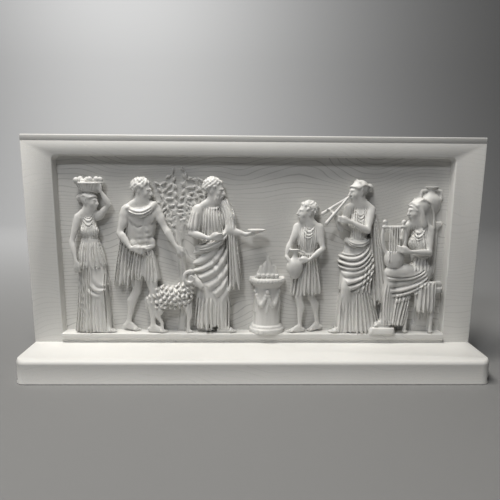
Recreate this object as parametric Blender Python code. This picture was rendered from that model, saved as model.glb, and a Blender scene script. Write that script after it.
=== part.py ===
"""White relief panel that stands on its own foot, cast in one piece.

The frieze shows a procession with a ram, music and an offering at an altar. Metres, +Z up. The origin
is under the middle of the foot, +X is the long side and -Y is the front.
"""

import math

import bmesh
import bpy
from mathutils import Matrix, Vector

# the slab and its foot
WIDTH = 0.200               # slab and foot alike
FOOT_HEIGHT = 0.0103
FOOT_REACH = 0.022          # how far the foot comes before the face of the slab
FOOT_CORNER = 0.0046        # rounding of the front corners, seen from above
FOOT_ROUND = 0.0018         # rounding of the upper front edge
FOOT_SIDE_ROUND = 0.0003    # the same edge along the sides
FOOT_LIP = 0.0009           # height of the thin lip along the bottom
FOOT_LIP_OUT = 0.00025
PANEL_HEIGHT = 0.0926       # slab above the foot
PANEL_THICK = 0.012
PANEL_BEVEL = 0.0004

# the recess and the ledge that the figures stand on
SIDE_BAND = 0.0132
TOP_BAND = 0.0090
RECESS_DEPTH = 0.0045
RECESS_CORNER = 0.0022
RECESS_DRAFT = 0.0004       # the walls lean out by this much towards the face
LEDGE_TOP = 0.0044          # above the foot
LEDGE_THICK = 0.0025
LEDGE_OUT = 0.0015          # before the face of the slab
COVE_OUT = 0.0005           # the hollow moulding under the ledge

# the carving: a figure keeps its proportions as shares of its own head
HEAD = 0.0096               # head of a standing figure
FLATTEN = 0.6               # depth of the relief as a share of true depth
HALF_SUNK = HEAD * 0.24     # middle plane of the figures before the ground
ROOT = HEAD * 0.0625        # how far the carving goes into the ground
VOXEL = HEAD * 0.06         # grid on which the shapes are fused
CARVING_FACES = 7500
THINNER = 0.94              # share of the faces kept in the last way of joining

# places along the frieze, from the middle, as shares of the recess's half width
BEARER_AT, YOUTH_AT, RAM_AT, TREE_AT, PRIEST_AT = -0.841, -0.576, -0.433, -0.380, -0.213
ALTAR_AT, CHILD_AT, PIPER_AT, LYRIST_AT, PILLAR_AT = 0.069, 0.277, 0.536, 0.829, 0.910

# worked out
DEPTH = FOOT_REACH + PANEL_THICK
BACK = DEPTH / 2
FRONT = -DEPTH / 2
FACE = BACK - PANEL_THICK
GROUND = FACE + RECESS_DEPTH
TOP = FOOT_HEIGHT + PANEL_HEIGHT
RECESS_HALF = WIDTH / 2 - SIDE_BAND
RECESS_TOP = TOP - TOP_BAND
FLOOR = FOOT_HEIGHT + LEDGE_TOP

SEGMENTS = 10               # faces round a quarter of the foot's corner, and round a limb
EMBED = 0.002               # how far parts of the shape overlap before they are joined
WELD = EMBED / 200          # points closer than this are one
CRUMB = VOXEL ** 3 * 10     # volume of a loose bit that is dropped


def clear_scene():
    for item in list(bpy.data.objects):
        bpy.data.objects.remove(item, do_unlink=True)


def white_resin():
    material = bpy.data.materials.new("white_resin")
    material.use_nodes = True
    shader = material.node_tree.nodes["Principled BSDF"]
    shader.inputs["Base Color"].default_value = (0.80, 0.79, 0.76, 1.0)
    shader.inputs["Roughness"].default_value = 0.5
    shader.inputs["Metallic"].default_value = 0.0
    return material


def new_object(name, mesh_maker):
    mesh = bpy.data.meshes.new(name)
    bm = bmesh.new()
    mesh_maker(bm)
    bm.to_mesh(mesh)
    bm.free()
    item = bpy.data.objects.new(name, mesh)
    bpy.context.scene.collection.objects.link(item)
    return item


def apply_modifiers(item):
    """the evaluated mesh becomes the object's own"""
    graph = bpy.context.evaluated_depsgraph_get()
    mesh = bpy.data.meshes.new_from_object(item.evaluated_get(graph))
    item.modifiers.clear()
    item.data = mesh


def combine(item, other, operation, folded=False):
    """folded: the other mesh may cross itself a little"""
    cut = item.modifiers.new(operation.lower(), "BOOLEAN")
    cut.operation = operation
    cut.solver = "EXACT"
    cut.use_self = folded
    cut.object = other
    apply_modifiers(item)
    bpy.data.objects.remove(other, do_unlink=True)


# the slab, the recess, the ledge and the foot

def add_box(bm, x_half, y_low, y_high, z_low, z_high):
    made = bmesh.ops.create_cube(bm, size=1.0)
    size = Vector((2 * x_half, y_high - y_low, z_high - z_low))
    middle = Vector((0.0, (y_low + y_high) / 2, (z_low + z_high) / 2))
    for vert in made["verts"]:
        vert.co = Vector((vert.co.x * size.x, vert.co.y * size.y, vert.co.z * size.z)) + middle
    return made["verts"]


def panel(bm):
    add_box(bm, WIDTH / 2, FACE, BACK, FOOT_HEIGHT - EMBED, TOP)
    upright = [edge for edge in bm.edges if min(vert.co.z for vert in edge.verts) > FOOT_HEIGHT]
    bmesh.ops.bevel(bm, geom=upright, offset=PANEL_BEVEL, segments=2, profile=0.5, affect="EDGES")


def foot_outline(inset_front, inset_side, lower):
    """seen from above: straight back, round front corners"""
    corner = FOOT_CORNER
    x_half, y_front = WIDTH / 2 + lower, FRONT - lower
    points = [(x_half - inset_side, BACK), (x_half - inset_side, FACE)]
    for step in range(SEGMENTS + 1):
        turn = math.pi / 2 * step / SEGMENTS
        inset = inset_side + (inset_front - inset_side) * math.sin(turn)
        reach = corner - inset
        points.append((x_half - corner + reach * math.cos(turn), y_front + corner - reach * math.sin(turn)))
    left = [(-x, y) for x, y in reversed(points)]
    return points + left


def foot(bm):
    rows = [(0.0, 0.0, FOOT_LIP_OUT), (0.0, FOOT_LIP * 0.6, FOOT_LIP_OUT), (0.0, FOOT_LIP, 0.0)]
    for step in range(6):
        turn = math.pi / 2 * step / 5
        rows.append((1.0 - math.cos(turn), FOOT_HEIGHT - FOOT_ROUND * (1.0 - math.sin(turn)), 0.0))
    rings = []
    for inset, height, lower in rows:
        outline = foot_outline(FOOT_ROUND * inset, FOOT_SIDE_ROUND * inset, lower)
        rings.append([bm.verts.new((x, y, height)) for x, y in outline])
    for low, high in zip(rings[:-1], rings[1:]):
        for i in range(len(low)):
            j = (i + 1) % len(low)
            bm.faces.new((low[i], high[i], high[j], low[j]))
    bm.faces.new(rings[0])
    bm.faces.new(reversed(rings[-1]))
    bmesh.ops.remove_doubles(bm, verts=bm.verts, dist=WELD)
    bmesh.ops.recalc_face_normals(bm, faces=bm.faces)


def recess_cutter(bm):
    """wider at the face than at the ground, with round upper corners"""
    low, high = FOOT_HEIGHT + LEDGE_TOP - LEDGE_THICK, RECESS_TOP
    rings = []
    for y, out in ((FACE - EMBED, RECESS_DRAFT * (1 + EMBED / RECESS_DEPTH)), (GROUND, 0.0)):
        half, upper, ring = RECESS_HALF + out, high + out, []
        for step in range(5):
            turn = math.pi / 2 * step / 4
            ring.append((half - RECESS_CORNER * (1 - math.cos(turn)),
                         upper - RECESS_CORNER * (1 - math.sin(turn))))
        ring += [(-x, z) for x, z in reversed(ring)]
        ring += [(-half, low), (half, low)]
        rings.append([bm.verts.new((x, y, z)) for x, z in ring])
    front, back = rings
    for i in range(len(front)):
        j = (i + 1) % len(front)
        bm.faces.new((front[i], front[j], back[j], back[i]))
    bm.faces.new(front)
    bm.faces.new(reversed(back))
    bmesh.ops.recalc_face_normals(bm, faces=bm.faces)


def ledge(bm):
    """a flat band with a small hollow under it; drawn from the side and extruded"""
    under = FLOOR - LEDGE_THICK
    profile = [(GROUND + EMBED, FLOOR), (FACE - LEDGE_OUT, FLOOR), (FACE - LEDGE_OUT, under)]
    for step in range(1, 5):
        turn = math.pi / 2 * step / 4
        profile.append((FACE - LEDGE_OUT + (LEDGE_OUT - COVE_OUT) * math.sin(turn),
                        under - (LEDGE_OUT - COVE_OUT) * (1 - math.cos(turn))))
    profile += [(FACE - COVE_OUT, FOOT_HEIGHT - EMBED / 2), (GROUND + EMBED, FOOT_HEIGHT - EMBED / 2)]
    half = RECESS_HALF + RECESS_DRAFT
    side = bm.faces.new([bm.verts.new((-half, y, z)) for y, z in profile])
    made = bmesh.ops.extrude_face_region(bm, geom=[side])
    moved = [part for part in made["geom"] if isinstance(part, bmesh.types.BMVert)]
    bmesh.ops.translate(bm, verts=moved, vec=(2 * half, 0.0, 0.0))
    bmesh.ops.recalc_face_normals(bm, faces=bm.faces)


# tools for the carving: a point is x, height and depth, in heads, from the figure's own place

class Clay:
    """collects closed shapes that overlap, to be fused into one skin"""

    def __init__(self):
        self.points, self.faces = [], []

    def place(self, at, head=HEAD, mirror=1.0, plane=HALF_SUNK):
        self.x, self.head, self.mirror, self.plane = at * RECESS_HALF, head, mirror, plane

    def add(self, points, faces, flat=True, middle=None):
        """from heads to metres, before the ground and above the ledge; depth is flattened once.
        Points behind the middle go back into the slab, points at the bottom go into the ledge."""
        first = len(self.points)
        shallow = FLATTEN if flat else 1.0
        for x, z, d in points:
            sunk = middle is not None and d < middle - 0.001
            self.points.append((self.x + self.mirror * x * self.head,
                                2 * ROOT if sunk else -self.plane - d * shallow * self.head,
                                -2 * ROOT if z < 0.05 else z * self.head))
        self.faces += [[first + i for i in face] for face in faces]

    def limb(self, points, radii, rooted=True):
        """a rounded stroke whose radius changes along its points"""
        count = len(points)
        radii = radii if isinstance(radii, (list, tuple)) else [radii] * count
        points = [Vector(p) for p in points]
        for point, radius in zip(points, radii):
            self.add([point + corner * radius for corner in SPHERE_POINTS], SPHERE_FACES,
                     middle=point.z if rooted else None)
        for i in range(count - 1):
            way = points[i + 1] - points[i]
            if way.length < 0.01:
                continue
            turn = way.to_track_quat("Z", "Y").to_matrix()
            ends = [points[i] + turn @ spoke * radii[i] for spoke in SPOKES]
            ends += [points[i + 1] + turn @ spoke * radii[i + 1] for spoke in SPOKES]
            self.add(ends, TUBE_FACES, middle=min(points[i].z, points[i + 1].z) if rooted else None)

    def fold(self, points, radii):
        """a round stroke that lies on other shapes and isn't flattened"""
        points = [Vector((x, z, d * FLATTEN)) for x, z, d in points]
        for point, radius in zip(points, radii):
            self.add([point + corner * radius for corner in SPHERE_POINTS], SPHERE_FACES, flat=False)
        for i in range(len(points) - 1):
            way = points[i + 1] - points[i]
            if way.length < 0.01:
                continue
            turn = way.to_track_quat("Z", "Y").to_matrix()
            ends = [points[i] + turn @ spoke * radii[i] for spoke in SPOKES]
            ends += [points[i + 1] + turn @ spoke * radii[i + 1] for spoke in SPOKES]
            self.add(ends, TUBE_FACES, flat=False)

    def ball(self, centre, radii, side=(1, 0, 0), up=(0, 1, 0)):
        """radii along side, up and front"""
        side = Vector(side).normalized()
        up = Vector(up)
        up = (up - side * up.dot(side)).normalized()
        turn = Matrix((side, up, side.cross(up))).transposed() @ Matrix.Diagonal(radii)
        self.add([turn @ corner + Vector(centre) for corner in SPHERE_POINTS], SPHERE_FACES,
                 middle=centre[2])

    def loft(self, rows, square=1.0):
        """rows of height, centre x, centre depth, half width and half depth; square under 1 is boxier"""
        points, sides = [], 20
        for z, x, d, wide, deep in rows:
            for i in range(sides):
                turn = 2 * math.pi * i / sides
                c, s = math.cos(turn), math.sin(turn)
                c = math.copysign(abs(c) ** square, c)
                s = math.copysign(abs(s) ** square, s)
                points.append((x + wide * c, z, d + deep * s))
        self.add(points, tube_faces(sides, len(rows)), middle=min(row[2] for row in rows))


def tube_faces(sides, rings):
    """closed by a flat cap at either end"""
    faces = [list(range(sides)), [(rings - 1) * sides + i for i in reversed(range(sides))]]
    for ring in range(rings - 1):
        low, high = ring * sides, (ring + 1) * sides
        for i in range(sides):
            j = (i + 1) % sides
            faces.append([low + j, low + i, high + i, high + j])
    return faces


def unit_sphere(sides, rings):
    """rings between two short caps"""
    points = []
    for ring in range(rings):
        lean = math.pi * (ring + 0.5) / rings
        for i in range(sides):
            turn = 2 * math.pi * i / sides
            points.append(Vector((math.sin(lean) * math.cos(turn), math.sin(lean) * math.sin(turn),
                                  math.cos(lean))))
    return points, tube_faces(sides, rings)


SPHERE_POINTS, SPHERE_FACES = unit_sphere(SEGMENTS, 7)
SPOKES = [Vector((math.cos(2 * math.pi * i / SEGMENTS), math.sin(2 * math.pi * i / SEGMENTS), 0.0))
          for i in range(SEGMENTS)]
TUBE_FACES = tube_faces(SEGMENTS, 2)


def mix(a, b, t):
    return Vector(a) * (1.0 - t) + Vector(b) * t


def row_at(rows, z, column):
    """a loft's value at a height between its rows"""
    rows = sorted(rows)
    for low, high in zip(rows[:-1], rows[1:]):
        if z <= high[0]:
            t = max(0.0, (z - low[0]) / (high[0] - low[0]))
            return low[column] + (high[column] - low[column]) * t
    return rows[-1][column]


def pleats(clay, rows, shares, top, hem, thick=0.10, gather=0.8, waver=0.02):
    """pipe folds down a loft; a share runs from -1, its left edge, to 1, its right edge"""
    for index, share in enumerate(shares):
        points, radii, steps = [], [], 6
        for step in range(steps + 1):
            t = step / steps
            z = top + (hem - top) * t
            s = share * (gather + (1 - gather) * t) + waver * math.sin(5 * t + 2 * index)
            s = max(-0.97, min(0.97, s))
            radius = thick * (0.65 + 0.35 * t) * (1.0 + 0.15 * math.sin(2.3 * index))
            depth = row_at(rows, z, 2) + row_at(rows, z, 4) * math.sqrt(1 - s * s)
            points.append((row_at(rows, z, 1) + row_at(rows, z, 3) * s, z, depth - 0.3 * radius))
            radii.append(radius)
        clay.fold(points, radii)


def spread(count, low=-0.93, high=0.93):
    return [low + (high - low) * i / (count - 1) for i in range(count)]


def fan(clay, starts, ends, count, bow=(0.0, 0.0, 0.0), thick=0.065):
    """folds between two boundary strokes: from one line to another, bowed in the middle"""
    for index in range(count):
        t = (index + 0.5) / count
        a, b = mix(starts[0], starts[1], t), mix(ends[0], ends[1], t)
        middle = mix(a, b, 0.5) + Vector(bow)
        points, radii = [], []
        for step in range(7):
            u = step / 6
            points.append((1 - u) ** 2 * a + 2 * u * (1 - u) * middle + u ** 2 * b)
            radii.append(thick * (0.6 + 0.5 * math.sin(math.pi * u)))
        clay.fold(points, radii)


def swags(clay, left, right, drops, out=0.25, thick=0.06):
    """nested folds that hang between two points"""
    for drop in drops:
        points = []
        for step in range(9):
            u = step / 8
            sink = 4 * u * (1 - u)
            points.append(mix(left, right, u) + Vector((0.0, -drop * sink, out * drop * sink)))
        clay.fold(points, [thick] * len(points))


# bodies

def arm(clay, shoulder, elbow, wrist, size=1.0):
    shares = ((0.0, 0.215), (0.2, 0.235), (0.55, 0.195), (1.0, 0.145))
    clay.limb([mix(shoulder, elbow, t) for t, r in shares], [r * size for t, r in shares])
    shares = ((0.0, 0.145), (0.25, 0.178), (0.7, 0.125), (1.0, 0.095))
    clay.limb([mix(elbow, wrist, t) for t, r in shares], [r * size for t, r in shares])


def hand(clay, wrist, way, across, curl, size=0.85):
    """way runs along the fingers, across over the knuckles, curl towards the palm"""
    wrist, way, across, curl = Vector(wrist), Vector(way), Vector(across), Vector(curl)
    way, across, curl = way.normalized(), across.normalized(), curl.normalized()
    for side in (-1, 1):
        base = wrist + (way * 0.34 + across * 0.085 * side) * size
        tip = base + (way * 0.24 + curl * 0.14) * size
        clay.limb([wrist, base, tip], [0.1 * size, 0.105 * size, 0.075 * size])
    thumb = wrist + (way * 0.12 + across * 0.1) * size
    clay.limb([thumb, thumb + (way * 0.28 + across * 0.12 + curl * 0.08) * size],
              [0.08 * size, 0.06 * size])


def bare_foot(clay, ankle, toe, size=1.0):
    ankle, toe = Vector(ankle), Vector(toe)
    way = Vector((toe.x - ankle.x, 0.0, toe.z - ankle.z)).normalized()
    heel = ankle - way * 0.16
    heel.y = max(ankle.y - 0.17, 0.10)
    ball = mix(ankle, toe, 0.66)
    ball.y = toe.y + 0.05
    clay.limb([heel, ball, toe], [0.12 * size, 0.115 * size, 0.075 * size])
    clay.limb([ankle, ball], [0.12 * size, 0.085 * size])


def leg(clay, hip, knee, ankle, toe, size=1.0, back=(-1, 0, 0)):
    back = Vector(back).normalized()
    shares = ((0.0, 0.36), (0.3, 0.355), (0.7, 0.275), (1.0, 0.205))
    clay.limb([mix(hip, knee, t) for t, r in shares], [r * size for t, r in shares])
    shares = ((0.0, 0.0, 0.195), (0.3, 0.07, 0.225), (0.62, 0.03, 0.155), (1.0, 0.0, 0.105))
    clay.limb([mix(knee, ankle, t) + back * b for t, b, r in shares], [r * size for t, b, r in shares])
    clay.ball(Vector(knee) - back * 0.1, (0.12, 0.14, 0.12))
    bare_foot(clay, ankle, toe, size)


def trunk(clay, left, right, pelvis, hips, front, kind="man"):
    """left and right are the shoulders as seen; hips is half the width of the pelvis"""
    left, right, pelvis = Vector(left), Vector(right), Vector(pelvis)
    middle = (left + right) / 2
    across = (right - left).normalized()
    up = (middle - pelvis).normalized()
    out = Vector(front)
    out = (out - up * out.dot(up)).normalized()
    half = (right - left).length / 2
    neck = middle + up * 0.3
    for shoulder in (left, right):
        clay.limb([shoulder, mix(shoulder, neck, 0.5), neck], [0.19, 0.2, 0.2])
    ribs = middle - up * 0.72
    man = kind in ("man", "robed")
    clay.ball(ribs, (half * (0.88 if man else 0.82), 0.82, 0.44 if man else 0.38), across, up)
    clay.ball(mix(ribs, pelvis, 0.5), (half * (0.76 if man else 0.7), 0.64, 0.35), across, up)
    clay.ball(pelvis, (hips, 0.46, 0.42), across, up)
    clay.limb([neck - up * 0.1, neck + up * 0.28 + out * 0.04], [0.225, 0.205])
    for side in (-1, 1):
        if kind == "woman":
            clay.ball(middle - up * 0.72 + across * side * half * 0.46 + out * 0.27, (0.23, 0.24, 0.18),
                      across, up)
        elif kind == "man":
            clay.ball(middle - up * 0.42 + across * side * half * 0.45 + out * 0.26,
                      (half * 0.5, 0.33, 0.16), across, up)
            clay.ball(pelvis + up * 0.42 + across * side * half * 0.62 + out * 0.14, (0.2, 0.24, 0.22),
                      across, up)


def head(clay, centre, face, style, beard=False, size=1.0):
    """every form hangs on the head's own side, up and face directions"""
    centre, f = Vector(centre), Vector(face).normalized()
    up = Vector((0, 1, 0))
    up = (up - f * up.dot(f)).normalized()
    side = up.cross(f)

    def at(a, b, c):
        return centre + (side * a + up * b + f * c) * size

    def radii(*values):
        return [value * size for value in values]

    clay.limb([at(0, -0.62, -0.14), at(0, -0.2, -0.08)], radii(0.2, 0.2))
    clay.ball(at(0, 0.12, -0.06), radii(0.34, 0.37, 0.41), side, up)
    clay.ball(at(0, -0.1, 0.1), radii(0.25, 0.36, 0.3), side, up)
    clay.ball(at(0, -0.36, 0.2), radii(0.15, 0.13, 0.15), side, up)
    clay.limb([at(-0.17, 0.1, 0.33), at(0, 0.11, 0.385), at(0.17, 0.1, 0.33)], radii(0.05, 0.055, 0.05))
    clay.limb([at(0, 0.08, 0.39), at(0, -0.1, 0.47)], radii(0.045, 0.06))
    clay.limb([at(-0.07, -0.24, 0.37), at(0.07, -0.24, 0.37)], radii(0.05, 0.05))
    if style == "veil":
        clay.ball(at(0, 0.16, -0.16), radii(0.44, 0.45, 0.44), side, up)
        for way in (-1, 1):
            clay.limb([at(0.3 * way, 0.28, 0.16), at(0.39 * way, -0.05, 0), at(0.4 * way, -0.55, -0.12)],
                      radii(0.07, 0.1, 0.14))
        clay.limb([at(-0.3, 0.28, 0.16), at(0, 0.4, 0.24), at(0.3, 0.28, 0.16)], radii(0.07, 0.07, 0.07))
        clay.limb([at(0, 0.2, -0.3), at(0, -0.3, -0.42), at(0, -0.85, -0.38)], radii(0.36, 0.32, 0.36))
    elif style == "knot":
        clay.ball(at(0, 0.17, -0.1), radii(0.38, 0.39, 0.42), side, up)
        clay.ball(at(0, 0.16, -0.58), radii(0.19, 0.2, 0.2), side, up)
        for i in range(7):
            turn = -1.2 + 2.4 * i / 6
            clay.limb([at(0.36 * math.sin(turn), 0.26, 0.27 * math.cos(turn) + 0.06),
                       at(0.38 * math.sin(turn * 0.9), 0.34 + 0.16 * math.cos(turn), -0.12)],
                       radii(0.06, 0.06))
    else:
        locks, golden = 30, math.pi * (3 - math.sqrt(5))
        for i in range(locks):
            y = 1 - 1.3 * (i + 0.5) / locks
            ring = math.sqrt(max(0.0, 1 - y * y))
            x, z = ring * math.sin(golden * i), ring * math.cos(golden * i)
            if (z > 0.5 and y < 0.5) or (y < 0 and z > 0):
                continue
            clay.ball(at(0.37 * x, 0.17 + 0.38 * y, -0.1 + 0.42 * z), radii(0.12, 0.12, 0.12))
    if beard:
        clay.ball(at(0, -0.4, 0.2), radii(0.22, 0.22, 0.2), side, up)
        for i in range(8):
            turn = -1.2 + 0.8 * (i % 4)
            start = at(0.22 * math.sin(turn), -0.28 - 0.14 * (i // 4), 0.18 + 0.2 * math.cos(turn))
            clay.limb([start, start - up * 0.16 * size], radii(0.08, 0.055))


# the figures, from left to right

def basket_bearer(clay):
    clay.place(BEARER_AT, HEAD * 0.925)
    skirt = [(4.55, 0.0, 0.02, 0.42, 0.36), (3.85, 0.0, 0.02, 0.64, 0.46), (2.7, 0.02, 0.0, 0.74, 0.52),
             (1.2, 0.0, -0.02, 0.86, 0.54), (0.0, -0.02, -0.02, 1.0, 0.58)]
    overfold = [(4.8, 0.0, 0.02, 0.44, 0.38), (4.3, 0.0, 0.03, 0.60, 0.47), (3.5, 0.0, 0.02, 0.77, 0.57)]
    clay.loft(skirt)
    clay.loft(overfold)
    pleats(clay, skirt, spread(5, -0.95, -0.1), 3.8, 0.0, 0.12)
    pleats(clay, skirt, spread(2, 0.65, 0.95), 3.8, 0.0, 0.11)
    pleats(clay, overfold, spread(7), 4.6, 3.5, 0.09)
    clay.limb([(0.12, 3.7, 0.12), (0.42, 2.25, 0.44), (0.42, 1.2, 0.36), (0.5, 0.4, 0.3)],
              [0.36, 0.27, 0.2, 0.16])
    bare_foot(clay, (0.52, 0.26, 0.3), (1.12, 0.07, 0.45))
    trunk(clay, (-0.50, 5.95, 0.22), (0.44, 6.02, -0.02), (0, 3.95, 0), 0.58, (0.35, 0, 1), "woman")
    swags(clay, (-0.34, 6.02, 0.32), (0.32, 6.05, 0.16), (0.3, 0.5))
    clay.limb([(-0.42, 4.78, 0.1), (-0.2, 4.72, 0.36), (0.1, 4.72, 0.4), (0.38, 4.78, 0.2)], 0.07)
    arm(clay, (-0.52, 5.9, 0.25), (-0.84, 4.75, 0.5), (-0.62, 3.8, 0.82), 0.88)
    hand(clay, (-0.62, 3.8, 0.82), (0.1, -1, 0.1), (1, 0.2, 0), (0.2, -0.2, -1))
    arm(clay, (0.44, 5.95, 0.0), (1.02, 6.55, 0.16), (0.64, 7.3, 0.3), 0.88)
    head(clay, (0.08, 6.72, 0.14), (1, -0.05, 0.42), "knot")
    clay.loft([(7.1, 0.09, 0.08, 0.44, 0.42), (7.42, 0.09, 0.08, 0.57, 0.5),
               (7.68, 0.09, 0.08, 0.74, 0.62)])
    for i in range(5):
        clay.ball((-0.41 + 0.25 * i, 7.76, 0.26), (0.17, 0.15, 0.18))


def youth(clay):
    """leads the ram on a cord"""
    clay.place(YOUTH_AT)
    cloak = [(6.0, -0.3, -0.12, 0.42, 0.34), (5.0, -0.62, -0.16, 0.38, 0.34),
             (3.6, -0.8, -0.15, 0.42, 0.34),
             (2.3, -0.9, -0.14, 0.52, 0.36)]
    kilt = [(4.15, 0.0, 0.06, 0.50, 0.42), (3.6, 0.0, 0.06, 0.62, 0.50), (2.66, 0.04, 0.06, 0.78, 0.54)]
    clay.loft(cloak)
    pleats(clay, cloak, spread(4, -0.85, 0.85), 5.8, 2.3, 0.12)
    leg(clay, (-0.18, 3.7, -0.05), (-0.34, 2.05, 0.02), (-0.8, 0.42, -0.1), (-0.28, 0.07, 0.0))
    leg(clay, (0.18, 3.7, 0.14), (0.5, 2.05, 0.4), (0.42, 0.32, 0.3), (1.05, 0.07, 0.45),
        back=(-0.9, 0, -0.3))
    trunk(clay, (-0.62, 5.9, 0.28), (0.6, 6.02, 0.12), (0, 3.9, 0.06), 0.52, (0.35, 0, 1))
    clay.loft(kilt)
    pleats(clay, kilt, spread(6), 4.05, 2.64, 0.11)
    clay.limb([(-0.52, 4.05, 0.2), (-0.22, 4.0, 0.48), (0.2, 4.06, 0.52), (0.54, 4.2, 0.26)], 0.12)
    clay.limb([(-0.6, 5.98, 0.36), (-0.34, 5.76, 0.56), (0.02, 5.68, 0.6), (0.36, 5.85, 0.5),
               (0.62, 6.1, 0.26)],
              [0.15, 0.17, 0.18, 0.18, 0.17])
    arm(clay, (-0.66, 5.84, 0.3), (-0.95, 4.8, 0.48), (-0.42, 4.12, 0.86), 1.06)
    hand(clay, (-0.42, 4.14, 0.86), (1, -0.25, 0.1), (0.2, 1, 0), (0.1, 0, -1))
    arm(clay, (0.66, 5.92, 0.12), (1.12, 4.98, 0.32), (1.6, 4.2, 0.6), 1.04)
    hand(clay, (1.6, 4.22, 0.6), (0.55, -0.8, 0.1), (0.8, 0.5, 0), (-0.2, 0, -1))
    clay.limb([(1.86, 4.02, 0.62), (1.9, 3.5, 0.56), (2.02, 3.0, 0.52), (2.24, 2.6, 0.5)], 0.07)
    head(clay, (0.1, 6.72, 0.2), (1, -0.14, 0.38), "curls")


def ram(clay):
    clay.place(RAM_AT, HEAD * 0.96)
    for x, d in ((-0.72, -0.15), (0.56, -0.15), (-0.52, 0.4), (0.84, 0.4)):
        hind = x < 0
        knee = (x - 0.14, 0.88, d) if hind else (x + 0.06, 0.88, d)
        clay.limb([(x, 1.5, d), knee], [0.3 if hind else 0.22, 0.14])
        clay.limb([knee, (x + (0.06 if hind else 0.0), 0.0, d)], [0.12, 0.11])
    clay.ball((0, 1.8, 0.1), (1.08, 0.55, 0.58))
    clay.ball((0.55, 1.92, 0.18), (0.52, 0.58, 0.54))
    clay.ball((-0.62, 1.86, 0.12), (0.52, 0.52, 0.5))
    clay.limb([(0.7, 2.05, 0.25), (1.02, 2.65, 0.45)], [0.46, 0.3])
    clay.limb([(-1.0, 2.0, 0.15), (-1.2, 1.65, 0.15), (-1.18, 1.2, 0.15)], [0.13, 0.13, 0.1])
    clay.limb([(1.06, 2.82, 0.56), (1.36, 2.6, 0.72), (1.52, 2.42, 0.8)], [0.23, 0.18, 0.13])
    turns = 14
    horn = []
    for i in range(turns + 1):
        t = i / turns
        reach, turn = 0.34 - 0.20 * t, 1.2 + 6.4 * t
        horn.append((0.98 + reach * math.cos(turn), 2.84 + reach * math.sin(turn), 0.72 + 0.18 * t))
    clay.limb(horn, [0.115 - 0.06 * i / turns for i in range(turns + 1)])
    locks, golden = 24, math.pi * (3 - math.sqrt(5))
    for i in range(locks):
        reach = math.sqrt((i + 0.5) / locks)
        x, z = reach * math.cos(golden * i), reach * math.sin(golden * i)
        clay.ball((1.0 * x, 1.82 + 0.5 * z, 0.1 + 0.56 * math.sqrt(1 - reach * reach)), (0.16, 0.14, 0.14))


def tree(clay):
    clay.place(TREE_AT, plane=0.0)
    clay.limb([(0.14 * math.sin(0.6 * i), 0.7 * i, 0) for i in range(9)],
              [0.22 - 0.012 * i for i in range(9)])
    ends = ((-1.25, 6.2), (-0.9, 6.95), (-0.35, 7.45), (0.25, 7.6), (0.85, 7.3), (1.25, 6.7), (1.3, 6.0))
    for k, (x, z) in enumerate(ends):
        start, end = Vector((0.05, 4.5 + 0.12 * k, 0)), Vector((x, z, 0))
        clay.limb([start, mix(start, end, 0.5) + Vector((0.1 * x, -0.1, 0)), end], [0.09, 0.08, 0.05])
        for j in range(6):
            base = mix(start, end, 0.45 + 0.11 * j)
            turn = 2.4 * j + k
            tip = base + Vector((0.36 * math.cos(turn), 0.36 * math.sin(turn), 0.0))
            clay.limb([base, mix(base, tip, 0.5) + Vector((0, 0, 0.03)), tip], [0.06, 0.12, 0.06])


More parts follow.
